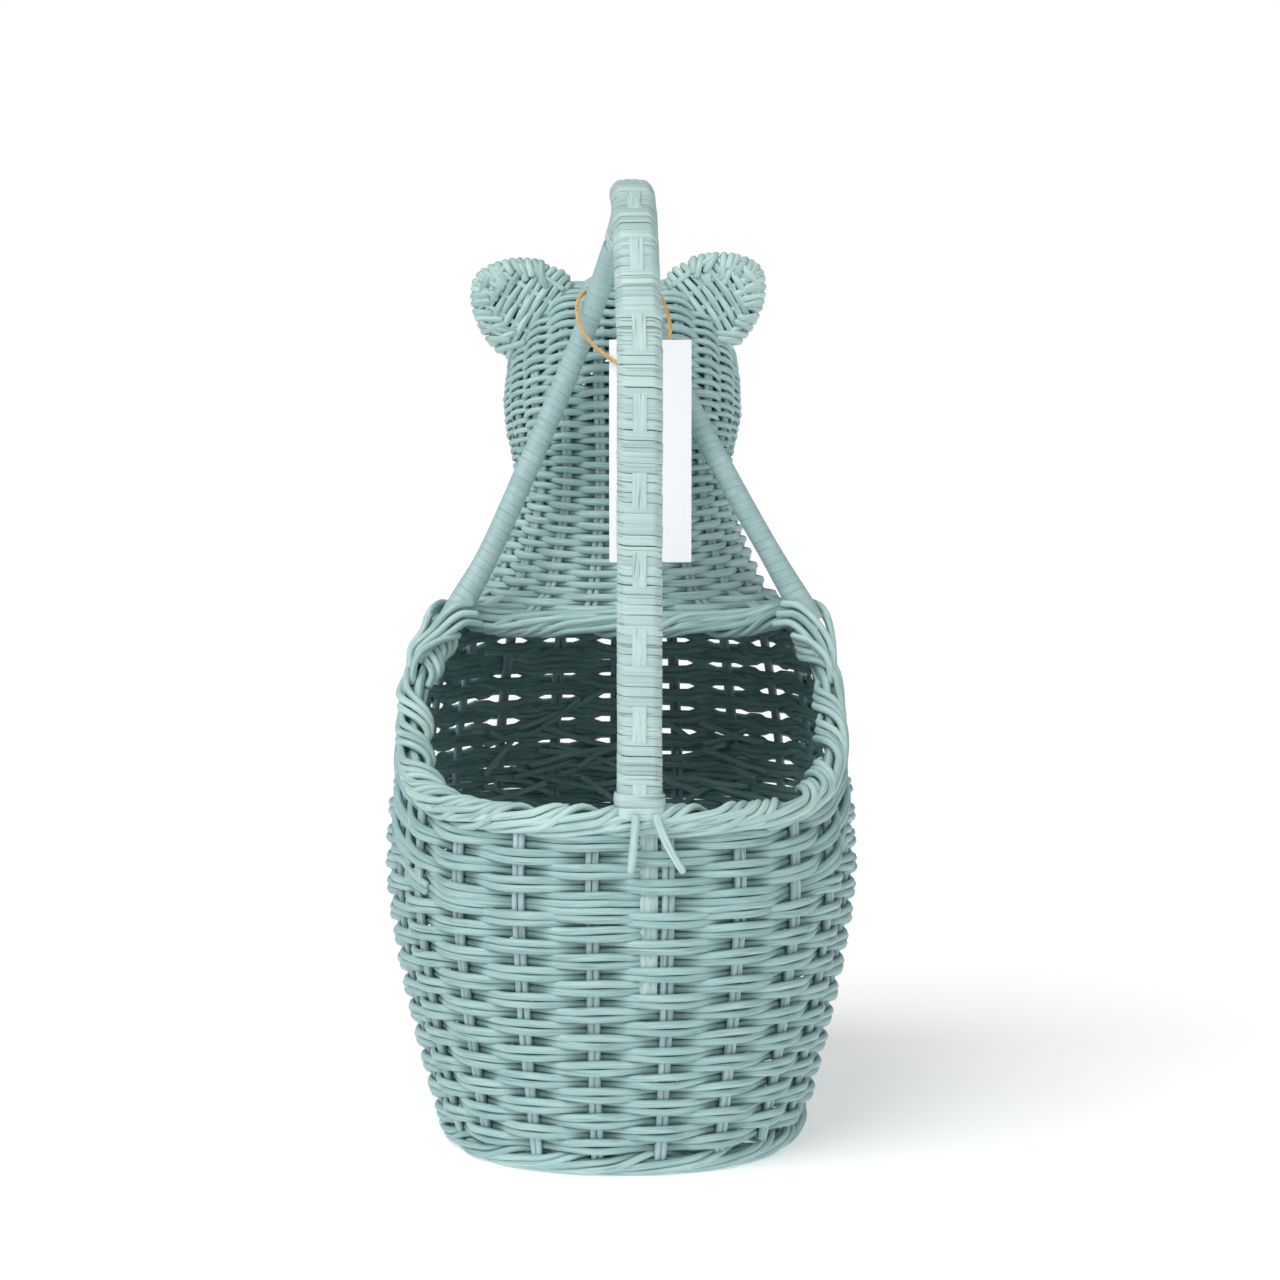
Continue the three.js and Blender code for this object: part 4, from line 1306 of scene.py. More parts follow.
@dataclass
class Borders:
    """The plaited rim, the border below the neck, the foot and the woven base.

    Args:
        body: Shape of the body.
        head: Shape of the neck and head.
        handle: Shape of the handle, whose fork is bound to the rim.
        rim_plait: Plait of the rim.
        rim_broader: How much broader the rim is at the left and the right.
        rim_shift: How far a side that is twice as broad stands in.
        rim_end: Distance over which an end of the rim sinks.
        rim_sink: How far the ends sink.
        rim_close: How far the ends move in.
        binding_routes: Knots of the strands that bind the fork's right foot to the shoulder.
        binding_radius: Half thickness of those strands.
        binding_middle: X that those strands go round, without its sign.
        neck_plait: Plait of the border below the neck.
        neck_half_height: Half height of that border.
        neck_lift: How far it stands above its place in the solid part.
        neck_end: How far its ends move along Y and Z.
        foot_plait: Plait of the foot.
        foot_height: Height of the foot.
        foot_half_width: Half width of the foot.
        base_lift: Height of the base's lower face.
        base_thickness: Thickness of the base.
        base_pitch: Distance from turn to turn of the base's spiral.
        base_spokes: Number of spokes of the base.
        wander: Source of unevenness.
    """

    body: BodyShape
    head: HeadShape
    handle: HandleShape
    rim_plait: Plait = Plait(5.9, 6.3, 21, 76, 3, 1.5, (-105, 42, 205), 0.64, 0.55, 0.08)
    rim_broader: Pair = (0.36, 0.18)
    rim_shift: float = 5.0
    rim_end: float = 24.0
    rim_sink: float = 8.0
    rim_close: float = 2.0
    binding_routes: tuple[tuple[Triple, ...], ...] = (
        ((63, -14, 207), (69.5, -17, 207), (76, -17.5, 202), (81, -17.5, 194), (84.5, -18.5, 183)),
        ((84.5, -17, 190), (84.5, -11, 200), (82, -8, 208), (77, -2.5, 211), (71, -1, 207)),
        ((85, -21, 186), (85, -14, 196), (83, -10.5, 204.5), (79, -3, 208.5), (73, 0, 204)),
        ((61.5, -12.5, 203), (68, -16.5, 203.5), (75, -17.5, 197.5), (80.5, -19, 188)),
        ((65, -12, 211), (71, -15.5, 210.5), (77.5, -16, 205), (83, -15.5, 197), (85.5, -17, 188)),
        ((84, -24, 180), (82, -24, 190), (76, -20, 196), (69, -15, 198.5)),
    )
    binding_radius: float = 1.5
    binding_middle: float = 74.0
    neck_plait: Plait = Plait(5.4, 6.1, 25, 92, 3, 1.5, (-100, 40, 195), 0.66, 0.5, 0.09)
    neck_half_height: float = 4.5
    neck_lift: float = 3.4
    neck_end: Pair = (-2.6, 4.0)
    foot_plait: Plait = Plait(4.9, 4.8, 27.6, 82, 2, 1.35, (-95, 60, 190), 0.6, 0.6, 0.07)
    foot_height: float = 9.0
    foot_half_width: float = 5.2
    base_lift: float = 2.5
    base_thickness: float = 5.0
    base_pitch: float = 3.1
    base_spokes: int = 31
    wander: Wander = field(default_factory=lambda: Wander(23))

    @staticmethod
    def _track(edge: Array, beyond: Array, stand: float) -> Track:
        """A track that stands off an edge.

        Args:
            edge: Points of the edge, shape (M, 3).
            beyond: A point beyond each of them, on the side that the track stands on.
            stand: Distance of the track from the edge.

        Returns:
            The track.
        """
        along = unit(np.gradient(edge, axis=0))
        upward = beyond - edge
        upward = unit(upward - along * (upward * along).sum(axis=1, keepdims=True))
        across = unit(np.cross(along, upward))
        return Track(edge + upward * stand, across, upward)

    def rim(self) -> Item:
        """The rim from the left shoulder round the tail to the right one.

        It sinks at both ends, and is broader at the sides of the opening, most at the left one.

        Returns:
            The rim.
        """
        arc = np.linspace(self.body.left_join - self.body.arc, self.body.right_join, 240)
        angle = self.body.angle(arc)
        top = self.body.top(angle)
        place = np.linspace(0, 1, 240)
        left, right = ease((0.44 - place) / 0.2), ease((place - 0.56) / 0.2)
        broad = self.rim_broader[0] * left + self.rim_broader[1] * right
        inset = self.body.middle + self.rim_shift * broad
        edge = self.body.point(angle, top, inset)
        climb = self.body.point(angle, top + 1, inset) - edge
        end = ease((edge[:, 1] + self.rim_end) / self.rim_end)
        edge = edge - end[:, None] * np.array([0, 0, self.rim_sink])
        edge[:, 0] -= np.sign(edge[:, 0]) * self.rim_close * end
        track = self._track(edge, edge + climb, SEAT_GAP + self.body.rim_half_height)
        strands = StrandSet(seed=5)
        travelled = distances(track.points)

        def widen(distance: Array) -> Array:
            """How much wider the rim is than its plait, by distance."""
            return 1 + np.interp(distance, travelled, broad)

        self.rim_plait.weave(track, strands, self.wander, widen=widen)
        for side in Side:
            self._binding(strands, side)
        return strands.build("rim_plait")

    def _binding(self, strands: StrandSet, side: Side) -> None:
        """Adds the strands that bind a foot of the fork to the shoulder.

        The left foot stands nearer to the middle, so there the upper parts move in with it.

        Args:
            strands: Set that takes the strands.
            side: The shoulder.
        """
        share = np.linspace(0, 1, 30)
        for route in self.binding_routes:
            path = catmull_rom(np.array(route), share)
            if side is Side.LEFT:
                path[:, 0] -= 4.5 * ease((path[:, 2] - 192) / 10)
            path[:, 0] *= side.value
            middle = np.array([side.value * self.binding_middle, 0.0, 0.0])
            middle = middle + path * np.array([0, 0, 1.0])
            middle[:, 1] = -self.handle.fork_foot_behind
            strands.add(path, path - middle, self.binding_radius)

    def neck(self) -> Item:
        """The border that hangs below the back of the neck.

        Returns:
            The border.
        """
        share = self.head.front_share + np.linspace(0.95, 0.05, 80) * (1 - self.head.front_share)
        edge = self.head.point(share, np.zeros(share.shape), self.body.middle)
        end = ease((np.linspace(-1, 1, 80) ** 2 - 0.45) / 0.5)
        edge = edge + np.array([0, 0, self.neck_lift]) + end[:, None] * np.array([0, *self.neck_end])
        track = self._track(edge, edge - np.array([0, 0, 1.0]), SEAT_GAP + self.neck_half_height)
        strands = StrandSet(seed=6)
        self.neck_plait.weave(track, strands, self.wander)
        return strands.build("neck_plait")

    def foot(self) -> Item:
        """The ring that the basket stands on.

        Returns:
            The ring.
        """
        arc = np.linspace(0, self.body.arc, 361)
        angle = self.body.angle(arc)
        edge = self.body.point(angle, np.zeros(angle.shape), self.body.middle)
        edge[:, 2] = 0
        track = self._track(edge, edge + np.array([0, 0, 1.0]), self.foot_height / 2)
        strands = StrandSet(seed=7)
        self.foot_plait.weave(track, strands, self.wander, looped=True)
        return strands.build("foot_plait")

    def base(self) -> Item:
        """The base: an oval spiral of one strand that waves over and under the spokes.

        Returns:
            The base.
        """
        strands = StrandSet(sides=6, seed=8)
        first = self.body.middle + self.foot_half_width + SEAT_GAP + 1.3
        turns = int((self.body.base_half[0] - first - 3) / self.base_pitch)
        step = np.arange(turns * 150 + 1) / 150
        inset = first + step * self.base_pitch
        angle = step * 2 * np.pi
        level = self.base_lift + self.base_thickness / 2
        flat = self.body.point(angle, np.zeros(angle.shape), inset)
        wave = np.cos(np.pi * self.base_spokes * step)
        flat[:, 2] = level + 1.15 * wave
        strands.add(flat, np.array([0, 0, -1.0]), 1.3)
        for turn in (np.arange(self.base_spokes) + 0.5) / self.base_spokes * 2 * np.pi:
            reach = np.linspace(first - 1, self.body.base_half[0] - 6, 24)
            spoke = self.body.point(np.full(24, turn), np.zeros(24), reach)
            spoke[:, 2] = level
            strands.add(spoke, np.array([0, 0, -1.0]), 1.2)
        return strands.build("base_weave")

    def dress(self) -> None:
        """Builds the borders and the base and dresses them."""
        dress(self.rim(), BORDER_FINISH, ["rim_border"])
        # The border below the neck takes the darker weaver finish instead of the border finish: painted
        # shade for its place under the neck.
        dress(self.neck(), WEAVER_FINISH, ["neck_border"])
        dress(self.foot(), WEAVER_FINISH, ["foot_border"])
        dress(self.base(), STAKE_FINISH, ["base_mat"])


@dataclass
class HeadWeave:
    """The neck and head: single weavers in a climbing spiral over pairs of stakes.

    The rows are evenly spaced up the back. Where they draw together under the chin, the strands
    thin with them. Up to the shoulders of the head, the rows hang in the middle: they climb by
    smile sin^2 of the whole turn counted from the middle of the back. A spiral closes the muzzle.

    Args:
        shape: Shape of the head.
        muzzle_tip: Y and Z of the muzzle's tip.
        muzzle_turns: Turns of the spiral that closes the muzzle.
        weaver_radius: Half thickness of a weaver in a row of full height.
        thinning: Least and greatest share of that thickness.
        pitch: Height of a row.
        strand_turns: Turns that one strand runs.
        smile: How far the rows hang in the middle.
        stake_pairs: Number of pairs of stakes.
        stake_nodes: Number of the solid part's stakes that they stand for.
        stake_apart: Half distance between a pair's stakes, as a share of a ring.
        swing: How far a weaver swings from the wall's middle.
        samples: Samples from one pair of stakes to the next.
        wander: Source of unevenness.
    """

    shape: HeadShape
    muzzle_tip: Pair = (106.0, 299.0)
    muzzle_turns: int = 7
    weaver_radius: float = 1.44
    thinning: Pair = (0.66, 1.25)
    pitch: float = 2.5
    strand_turns: int = 6
    smile: float = 6.0
    stake_pairs: int = 19
    stake_nodes: int = 13
    stake_apart: float = 0.0036
    swing: float = 2.1
    samples: int = 6
    wander: Wander = field(default_factory=lambda: Wander(31))

    def _travelled(self, turn: Array, share: Array) -> Array:
        """Distance up the back at a place of the spiral.

        Args:
            turn: Turns from the spiral's start.
            share: The same place as a share of the rings.

        Returns:
            The distance at every place.
        """
        flat = (turn + 0.5) * self.pitch
        smile = self.smile * ease(flat / 30) * (1 - ease((flat - 45) / 65))
        return flat + smile * np.sin(2 * np.pi * (share - (1 + self.shape.front_share) / 2)) ** 2

    def _muzzle(self, strands: StrandSet) -> None:
        """Adds the spiral that closes the muzzle, from the last ring in to its tip.

        Args:
            strands: Set that takes the spiral.
        """
        turns, per_turn = self.muzzle_turns, 60
        turn = np.arange(turns * per_turn + 1) / per_turn
        share = self.shape.front_share / 2 + turn
        ring = self.shape.point(share, np.full(share.shape, 8.0), self.shape.body.middle)
        inward = np.clip(turn / turns, 0, 0.94)[:, None]
        tip = np.array([0, self.muzzle_tip[0] - self.shape.body.middle, self.muzzle_tip[1]])
        points = ring * (1 - inward) + tip * inward
        points[:, 1] += 1.2 * np.cos(np.pi * self.stake_pairs * share) * (1 - inward[:, 0])
        strands.add(points, np.array([0, 1.0, 0]), 1.35, flat=1.15)

    def weavers(self) -> Item:
        """All weavers of the head: the climbing spiral and the one that closes the muzzle.

        Returns:
            The weavers.
        """
        strands = StrandSet(sides=7, seed=9)
        self._muzzle(strands)
        per_turn = self.stake_pairs * self.samples
        lengths = self.shape.back_lengths
        turns = int((lengths[-1] - 3) / self.pitch)
        first = self.shape.front_share / 2
        for start in range(0, turns, self.strand_turns):
            end = min(start + self.strand_turns, turns)
            turn = np.arange(start * per_turn, end * per_turn + 1) / per_turn
            share = first + turn
            level = np.interp(self._travelled(turn, share), lengths, self.shape.levels)
            nearby = np.interp(self._travelled(turn + 1, share), lengths, self.shape.levels)
            wave = np.cos(np.pi * (self.stake_pairs * share - 0.5))
            level = level + self.wander.along(turn * 300, 0.006, 71)
            inset = self.shape.body.middle - self.swing * wave + self.wander.along(turn * 300, 0.15, 53)
            points = self.shape.point(share, level, inset)
            gap = np.linalg.norm(self.shape.point(share, nearby, inset) - points, axis=1)
            normals = self.shape.point(share, level, inset - 1) - points
            radius = self.weaver_radius * np.clip(gap / self.pitch, *self.thinning)
            # The hollow mask drives the painted shade where a weaver passes behind a stake.
            strands.add(points, normals, radius, flat=1.12, hollow=crevice_shade(wave))
        return strands.build("head_weave")

    def stakes(self) -> Item:
        """All stakes of the head, in pairs that narrow towards the muzzle.

        Returns:
            The stakes.
        """
        strands = StrandSet(seed=10)
        level = np.linspace(0, 8, 60)
        for middle in (np.arange(self.stake_pairs) + 0.5) / self.stake_pairs:
            for side in (-1, 1):
                narrow = 1 - 0.75 * ease((level - 5) / 2.7)
                share = np.full(60, middle) + side * self.stake_apart * narrow
                points = self.shape.point(share, level, self.shape.body.middle)
                normals = self.shape.point(share, level, self.shape.body.middle - 1) - points
                strands.add(points, normals, self.shape.body.stake_strand / 2 * narrow)
        return strands.build("head_stakes")

    def dress(self) -> None:
        """Builds the head's weavers and stakes and dresses them."""
        skins = ["head_weavers_outside", "head_weavers_inside"]
        dress(self.weavers(), WEAVER_FINISH, skins)
        nodes = [f"head_stake_{number + 1:02d}" for number in range(self.stake_nodes)]
        dress(self.stakes(), STAKE_FINISH, nodes)


@dataclass(frozen=True)
class Ear:
    """One ear: rows of strand woven round a flat lobe, and short strands folded over its edge.

    The lobe's half length at height h is half (1 - (h / reach)^n)^(1/n), with n the exponent.

    Args:
        side: Side of the head.
        out: X of the seam's middle, without its sign.
        up: Z of the seam's middle.
        half: Half length of the seam.
        reach: How far the lobe stands out from the seam.
        lean: Slope of the seam, in degrees.
        back: Y of the lobe's middle.
        half_thickness: Half thickness of the lobe at the seam.
        exponent: Exponent of the lobe's outline.
        sunk: How far the rows reach into the head.
        radius: Half thickness of a row's strand.
        row: Distance from row to row.
        rib: Distance from rib to rib.
        fold_pitch: Distance from one folded strand to the next.
        fold_depths: Least and greatest length of a folded strand on each face.
    """

    side: Side
    out: float
    up: float
    half: float
    reach: float
    lean: float
    back: float = 42.0
    half_thickness: float = 8.4
    exponent: float = 1.7
    sunk: float = 9.0
    radius: float = 1.5
    row: float = 3.2
    rib: float = 7.5
    fold_pitch: float = 3.1
    fold_depths: Pair = (5.0, 13.0)

    @property
    def name(self) -> str:
        """Name of the node that the ear replaces."""
        return f"ear_{self.side.label}"

    def _place(self, along: Array, outward: Array, depth: Array) -> Array:
        """Points from places in the lobe.

        Args:
            along: Distance along the seam from its middle, down being positive.
            outward: Distance from the seam, away from the head.
            depth: Distance from the lobe's middle, the face side being positive.

        Returns:
            The points, of the arguments' shape plus (3,).
        """
        lean = np.radians(self.lean)
        x = self.out + along * np.cos(lean) + outward * np.sin(lean)
        z = self.up - along * np.sin(lean) + outward * np.cos(lean)
        return np.stack(np.broadcast_arrays(self.side.value * x, self.back + depth, z), axis=-1)

    def _share(self, outward: Array | float) -> Array:
        """Share of the seam's length that the lobe still has at a height."""
        held = np.clip(outward / self.reach, 0, 1)
        return (1 - held**self.exponent) ** (1 / self.exponent)

    def _thick(self, share: Array | float) -> Array | float:
        """Half thickness of the lobe where it has a share of the seam's length."""
        return self.half_thickness * (0.4 + 0.6 * share)

    def build(self) -> Item:
        """The ear: its rows, ribs and folded strands.

        Returns:
            The ear.
        """
        strands = StrandSet(seed=60 + self.side.value)
        wander = Wander(70 + self.side.value)
        turn = np.arange(72) / 72 * 2 * np.pi
        for number, height in enumerate(np.arange(-self.sunk, self.reach - 1.6, self.row)):
            left = float(self._share(1.5 * abs(height) + 1 if height < 0 else height + 1))
            half = self.half * left - self.radius
            thick = self._thick(left) - self.radius
            along = half * np.cos(turn)
            side = np.sign(np.sin(turn)) * np.abs(np.sin(turn)) ** 0.65
            woven = 0.85 * np.cos(np.pi * (along / self.rib + number)) * np.sin(turn) ** 2
            outward = height - 2.2 * (along / self.half) ** 2 + wander.along(turn * 9, 0.28, 23)
            points = self._place(along, outward, side * (thick + woven))
            middle = self._place(along * 0.7, outward, 0 * along)
            radius = self.radius * (1 + wander.pick(1, -0.06, 0.06)[0])
            hollow = ease(-1.2 * woven)
            strands.add(points, points - middle, radius, closed=True, hollow=hollow)
        self._ribs(strands)
        self._fold(strands, wander)
        return strands.build(f"{self.name}_strands")

    def _ribs(self, strands: StrandSet) -> None:
        """Adds the ribs that the rows are woven over, out from the seam on both faces.

        Args:
            strands: Set that takes the ribs.
        """
        for along in np.arange(-2, 3) * self.rib:
            top = self.reach * (1 - (abs(along) / self.half) ** self.exponent) ** (1 / self.exponent)
            outward = np.linspace(-6, top - 3.0, 20)
            thick = self._thick(self._share(outward)) - 2.4
            for face in (-1, 1):
                points = self._place(np.full(20, along), outward, face * thick)
                strands.add(points, np.array([0, float(face), 0]), 1.25)

    def _fold(self, strands: StrandSet, wander: Wander) -> None:
        """Adds short strands that fold over the lobe's edge, of uneven length and lean.

        Args:
            strands: Set that takes the strands.
            wander: Source of unevenness.
        """
        turn = np.linspace(0.16, np.pi - 0.30, 400)
        power = 2 / self.exponent
        edge = np.stack([
            self.half * np.sign(np.cos(turn)) * np.abs(np.cos(turn)) ** power,
            self.reach * np.sin(turn) ** power,
        ], axis=1)
        travelled = distances(edge)
        count = int(travelled[-1] / self.fold_pitch)
        at = (np.arange(count) + 0.5) / count * travelled[-1] + wander.pick(count, -0.35, 0.35)
        spot, ahead = (
            np.stack([np.interp(at + more, travelled, edge[:, i]) for i in range(2)], axis=1)
            for more in (0.0, 0.5)
        )
        beside = unit(ahead - spot)
        inward = np.stack([beside[:, 1], -beside[:, 0]], axis=1)
        inward *= -np.sign((inward * spot).sum(axis=1, keepdims=True))
        fold = np.linspace(-1, 1, 20)
        depth = wander.pick(count, *self.fold_depths)
        lean = wander.pick(count, -0.3, 0.3) - 0.55 * spot[:, 0] / self.half
        for place, side, inner, deep, tilt in zip(spot, beside, inward, depth, lean):
            reach = (1 - np.sqrt(np.maximum(0, 1 - np.abs(fold) ** 2.4))) * deep + 0.9
            path = place + reach[:, None] * (inner + tilt * side)
            thick = self._thick(self._share(path[:, 1])) - 1.2
            face = thick * np.sign(fold) * np.abs(fold) ** 0.75
            points = self._place(path[:, 0], path[:, 1], face)
            core = place + inner * 7
            normals = points - self._place(core[0], core[1], np.array(0.0))
            strands.add(points, normals, 1.3, flat=1.25)

    def dress(self) -> None:
        """Builds the ear and dresses it."""
        dress(self.build(), BORDER_FINISH, [self.name])


EARS = (
    Ear(side=Side.LEFT, out=37.8, up=330.3, half=22.3, reach=28.4, lean=58.0),
    Ear(side=Side.RIGHT, out=34.6, up=332.8, half=21.5, reach=28.6, lean=55.0),
)


@dataclass
class Windings:
    """Peel wound round the rods, the listing strip, the collar and the tie ends.

    Args:
        shape: Shape of the handle.
        peel_thickness: Thickness of the peel.
        peel_stand: Gap between a rod and the peel.
        leg_pitch: Mean width of a turn on the leg and the arch.
        fork_pitch: Mean width of a turn on the fork.
        fork_seat: Height where the fork's windings end, inside the rim.
        swell: How much thicker those windings are at their ends.
        swell_length: Distance over which they thicken.
        strip_width: Width of the listing strip.
        strip_thickness: Thickness of the strip.
        strip_period: Distance from one place where the strip shows to the next.
        strip_stand: Gap between the rods and the strip.
        strip_groove: Depth of the strip's grooves, as a share of its thickness.
        collar_bands: Height over the leg's foot, stand and lean of each band.
        tie_length: How far the tie ends hang down.
        tie_starts: X of each tie end's top, from the leg's middle.
        tie_spreads: How far each tie end strays to the side.
        tie_radius: Half thickness of a tie end.
        wander: Source of unevenness.
    """

    shape: HandleShape
    peel_thickness: float = 0.7
    peel_stand: float = 0.12
    leg_pitch: float = 3.7
    fork_pitch: float = 3.5
    fork_seat: float = 202.5
    swell: float = 1.1
    swell_length: float = 38.0
    strip_width: float = 5.2
    strip_thickness: float = 0.8
    strip_period: float = 28.5
    strip_stand: float = 0.15
    strip_groove: float = 0.16
    collar_bands: tuple[Triple, ...] = ((-2.6, 0.95, 0.3), (2.2, 1.15, -0.35))
    tie_length: float = 20.0
    tie_starts: Pair = (-1.4, 6.2)
    tie_spreads: Pair = (-1.8, 9.6)
    tie_radius: float = 1.6
    wander: Wander = field(default_factory=lambda: Wander(47))

    def _wind(
        self, name: str, track: Track, apart: Array, pitch: float, steps: int,
        rise: Callable[[Array, Array], Array], edge: float,
    ) -> Item:
        """One flat band wound along a track.

        The band's middle climbs one width a turn. Round a pair of rods the turn is a stadium: a
        circle whose halves stand apart by the rods' spacing.

        Args:
            name: Name of the object.
            track: Middle line of the rod or rods.
            apart: Half spacing of the rods at the track's points, 0 for one rod.
            pitch: Mean distance from turn to turn.
            steps: Samples of a turn.
            rise: Extra reach of the band, from the distance and the turn's angle.
            edge: How far the band's edges drop, as a share of its thickness.

        Returns:
            The band.
        """
        turns = int(track.length / pitch)
        widths = 1 + self.wander.pick(turns + 1, -0.13, 0.13)
        edges = np.concatenate([[0], np.cumsum(widths)])
        edges = edges / edges[-1] * track.length
        place = np.arange(turns * steps + 1) / steps
        low = np.interp(place, np.arange(len(edges)), edges)
        high = np.interp(place + 1, np.arange(len(edges)), edges)
        turn = (place % 1) * 2 * np.pi + np.pi / steps
        half = (high - low) / 2
        profile = (
            (-1, 0), (1, 0), (1, 1 - edge), (0.86, 1 - 0.15 * edge),
            (0.3, 1.0), (-0.3, 1 - 0.3 * edge), (-0.86, 1.0), (-1, 1 - 0.8 * edge),
        )
        travelled = distances(track.points)
        slack = np.clip(self.wander.along(place * 25, 2.4 * edge, 31), 0, 0.8 * edge)
        lift = np.interp(place, np.arange(turns + 1), self.wander.pick(turns + 1, -0.6, 0.6) * edge)
        corners, lays = [], []
        for along, out in profile:
            distance = np.clip((low + high) / 2 + along * (half - slack), 0, track.length)
            point, first, second = track.at(distance)
            gap = np.interp(distance, travelled, apart)
            bulge = 0.5 * np.sin(turn) ** 4 * ease(gap / 3)
            radius = self.shape.rod_radius + self.peel_stand + out * self.peel_thickness
            radius = radius + rise(distance, turn) + lift + bulge
            x = gap * np.sign(np.cos(turn)) + radius * np.cos(turn)
            corners.append(point + x[:, None] * first + (radius * np.sin(turn))[:, None] * second)
            round_rod = place * (2 * np.pi * self.shape.rod_radius + 4 * gap)
            lays.append(np.stack([round_rod, along * half, np.full(len(place), out)], axis=1))
        tones = self.wander.pick(turns + 1)[np.floor(place + 0.25).astype(int) % (turns + 1)]
        grid = np.stack(corners[::-1], axis=1)
        return grid_object(name, grid, np.stack(lays[::-1], axis=1), tones)

    def _over(self, distance: Array) -> Array:
        """How far the listing strip lies over the peel: 1 over it, 0 under it, by distance."""
        wave = np.cos(2 * np.pi * (distance + 1.5) / self.strip_period)
        return ease(0.5 + 2.2 * wave)

    def leg(self) -> Item:
        """Peel wound round both rods of the leg and the arch.

        Returns:
            The winding.
        """
        track, apart = self.shape.pair(self.shape.pair_start, self.shape.parting + 3)

        def rise(distance: Array, turn: Array) -> Array:
            """Lifts the peel where the listing strip runs below it."""
            near = np.exp(-(((turn - np.pi / 2 + np.pi) % (2 * np.pi) - np.pi) / 0.55) ** 4)
            return (1 - self._over(distance)) * self.strip_thickness * near

        return self._wind("leg_winding", track, apart, self.leg_pitch, 32, rise, 0.25)

    def fork(self, side: Side) -> Item:
        """Peel wound round one leg of the fork.

        Args:
            side: The leg.

        Returns:
            The winding.
        """
        points = self.shape.left if side is Side.LEFT else self.shape.right
        points = points[self.shape.parting + 1:]
        last = points[-1]
        down = last - points[-40]
        foot = last + down / down[2] * (self.fork_seat - last[2])
        share = np.linspace(0, 1, 40)[1:, None]
        track = self.shape.track(np.vstack([points, last * (1 - share) + foot * share]))
        length = track.length

        def rise(distance: Array, turn: Array) -> Array:
            """Lets the wrap grow thicker towards the shoulder."""
            share = (distance - length + self.swell_length) / self.swell_length
            return self.swell * ease(share) + 0 * turn

        none = np.zeros(len(track.points))
        name = f"fork_winding_{side.label}"
        return self._wind(name, track, none, self.fork_pitch, 24, rise, 0.05)

    def strip(self) -> Item:
        """The listing strip, woven over and under the peel.

        Returns:
            The strip.
        """
        track, _ = self.shape.pair(self.shape.pair_start, self.shape.parting - 9)
        distance = np.linspace(0, track.length, 420)
        point, first, second = track.at(distance)
        over = self._over(distance)
        rise = self.shape.rod_radius + self.strip_stand + over * (self.peel_thickness + 0.1)
        half, low = self.strip_width / 2, 1.0 - self.strip_groove
        top = [
            (-half + 0.25, 1.0), (-half * 0.62, low), (-half * 0.3, 1.0), (0, low),
            (half * 0.33, 1.0), (half * 0.64, low), (half - 0.25, 1.0),
        ]
        profile = [(-half, 0.0), (-half, 0.75), *top, (half, 0.75), (half, 0.0)]
        corners = [
            point + x * first + (rise + y * self.strip_thickness)[:, None] * second
            for x, y in profile
        ]
        lays = [np.stack([distance, np.full(420, x), np.full(420, y)], axis=1) for x, y in profile]
        return grid_object("strip_band", np.stack(corners, 1), np.stack(lays, 1), tone=0.8)

    def collar(self) -> Item:
        """Two overlapping bands of peel round the foot of the leg.

        Returns:
            The bands.
        """
        strands = StrandSet(sides=10, seed=12)
        turn = np.arange(64) / 64 * 2 * np.pi
        centre = np.array([self.shape.leg_offset, self.shape.body.leg_y, 0])
        for up, out, lean in self.collar_bands:
            z = self.shape.leg_foot + up
            radius = self.shape.rod_radius + SEAT_GAP + out
            x = self.shape.rod_spacing / 2 * np.sign(np.cos(turn + 0.01)) + radius * np.cos(turn)
            ring = np.stack([x, radius * np.sin(turn), z + lean * np.cos(turn)], axis=1) + centre
            out_way = np.stack([np.cos(turn), np.sin(turn), 0 * turn], axis=1)
            strands.add(ring, out_way, 0.6, flat=4.6, closed=True)
        return strands.build("collar_bands")

    def tie(self, side: Side) -> Item:
        """One loose end of the tie, hanging over the rim.

        Args:
            side: The end.

        Returns:
            The end.
        """
        index = 0 if side is Side.LEFT else 1
        share = np.linspace(0, 1, 24)
        x = self.shape.leg_offset + self.tie_starts[index] + self.tie_spreads[index] * share**1.3
        z = self.shape.leg_foot - 3.2 - self.tie_length * share
        angle = np.full(24, -np.pi / 2)
        wall = self.shape.body.point(angle, np.minimum(z, self.shape.body.tail_height), 0.0)[:, 1]
        y = wall - 2.6 - 0.9 * np.sin(np.pi * np.minimum(1, share * 1.25))
        points = np.stack([x, y, z], axis=1)
        strands = StrandSet(sides=10, seed=90 + index)
        strands.add(points, np.array([0, -1.0, 0]), self.tie_radius - 0.2 * share**3)
        return strands.build(f"tie_strand_{side.label}")

    def dress(self) -> None:
        """Builds the windings, the strip, the collar and the ties, and dresses them and the rods."""
        dress(self.leg(), PEEL_FINISH, ["leg_wrap"])
        dress(self.strip(), PEEL_FINISH, ["listing_strip"])
        dress(self.collar(), PEEL_FINISH, ["tail_collar"])
        for side in Side:
            dress(self.fork(side), FORK_FINISH, [f"fork_wrap_{side.label}"])
            dress(self.tie(side), BORDER_FINISH, [f"tie_end_{side.label}"])
            repaint(f"handle_rod_{side.label}", ROD_FINISH)


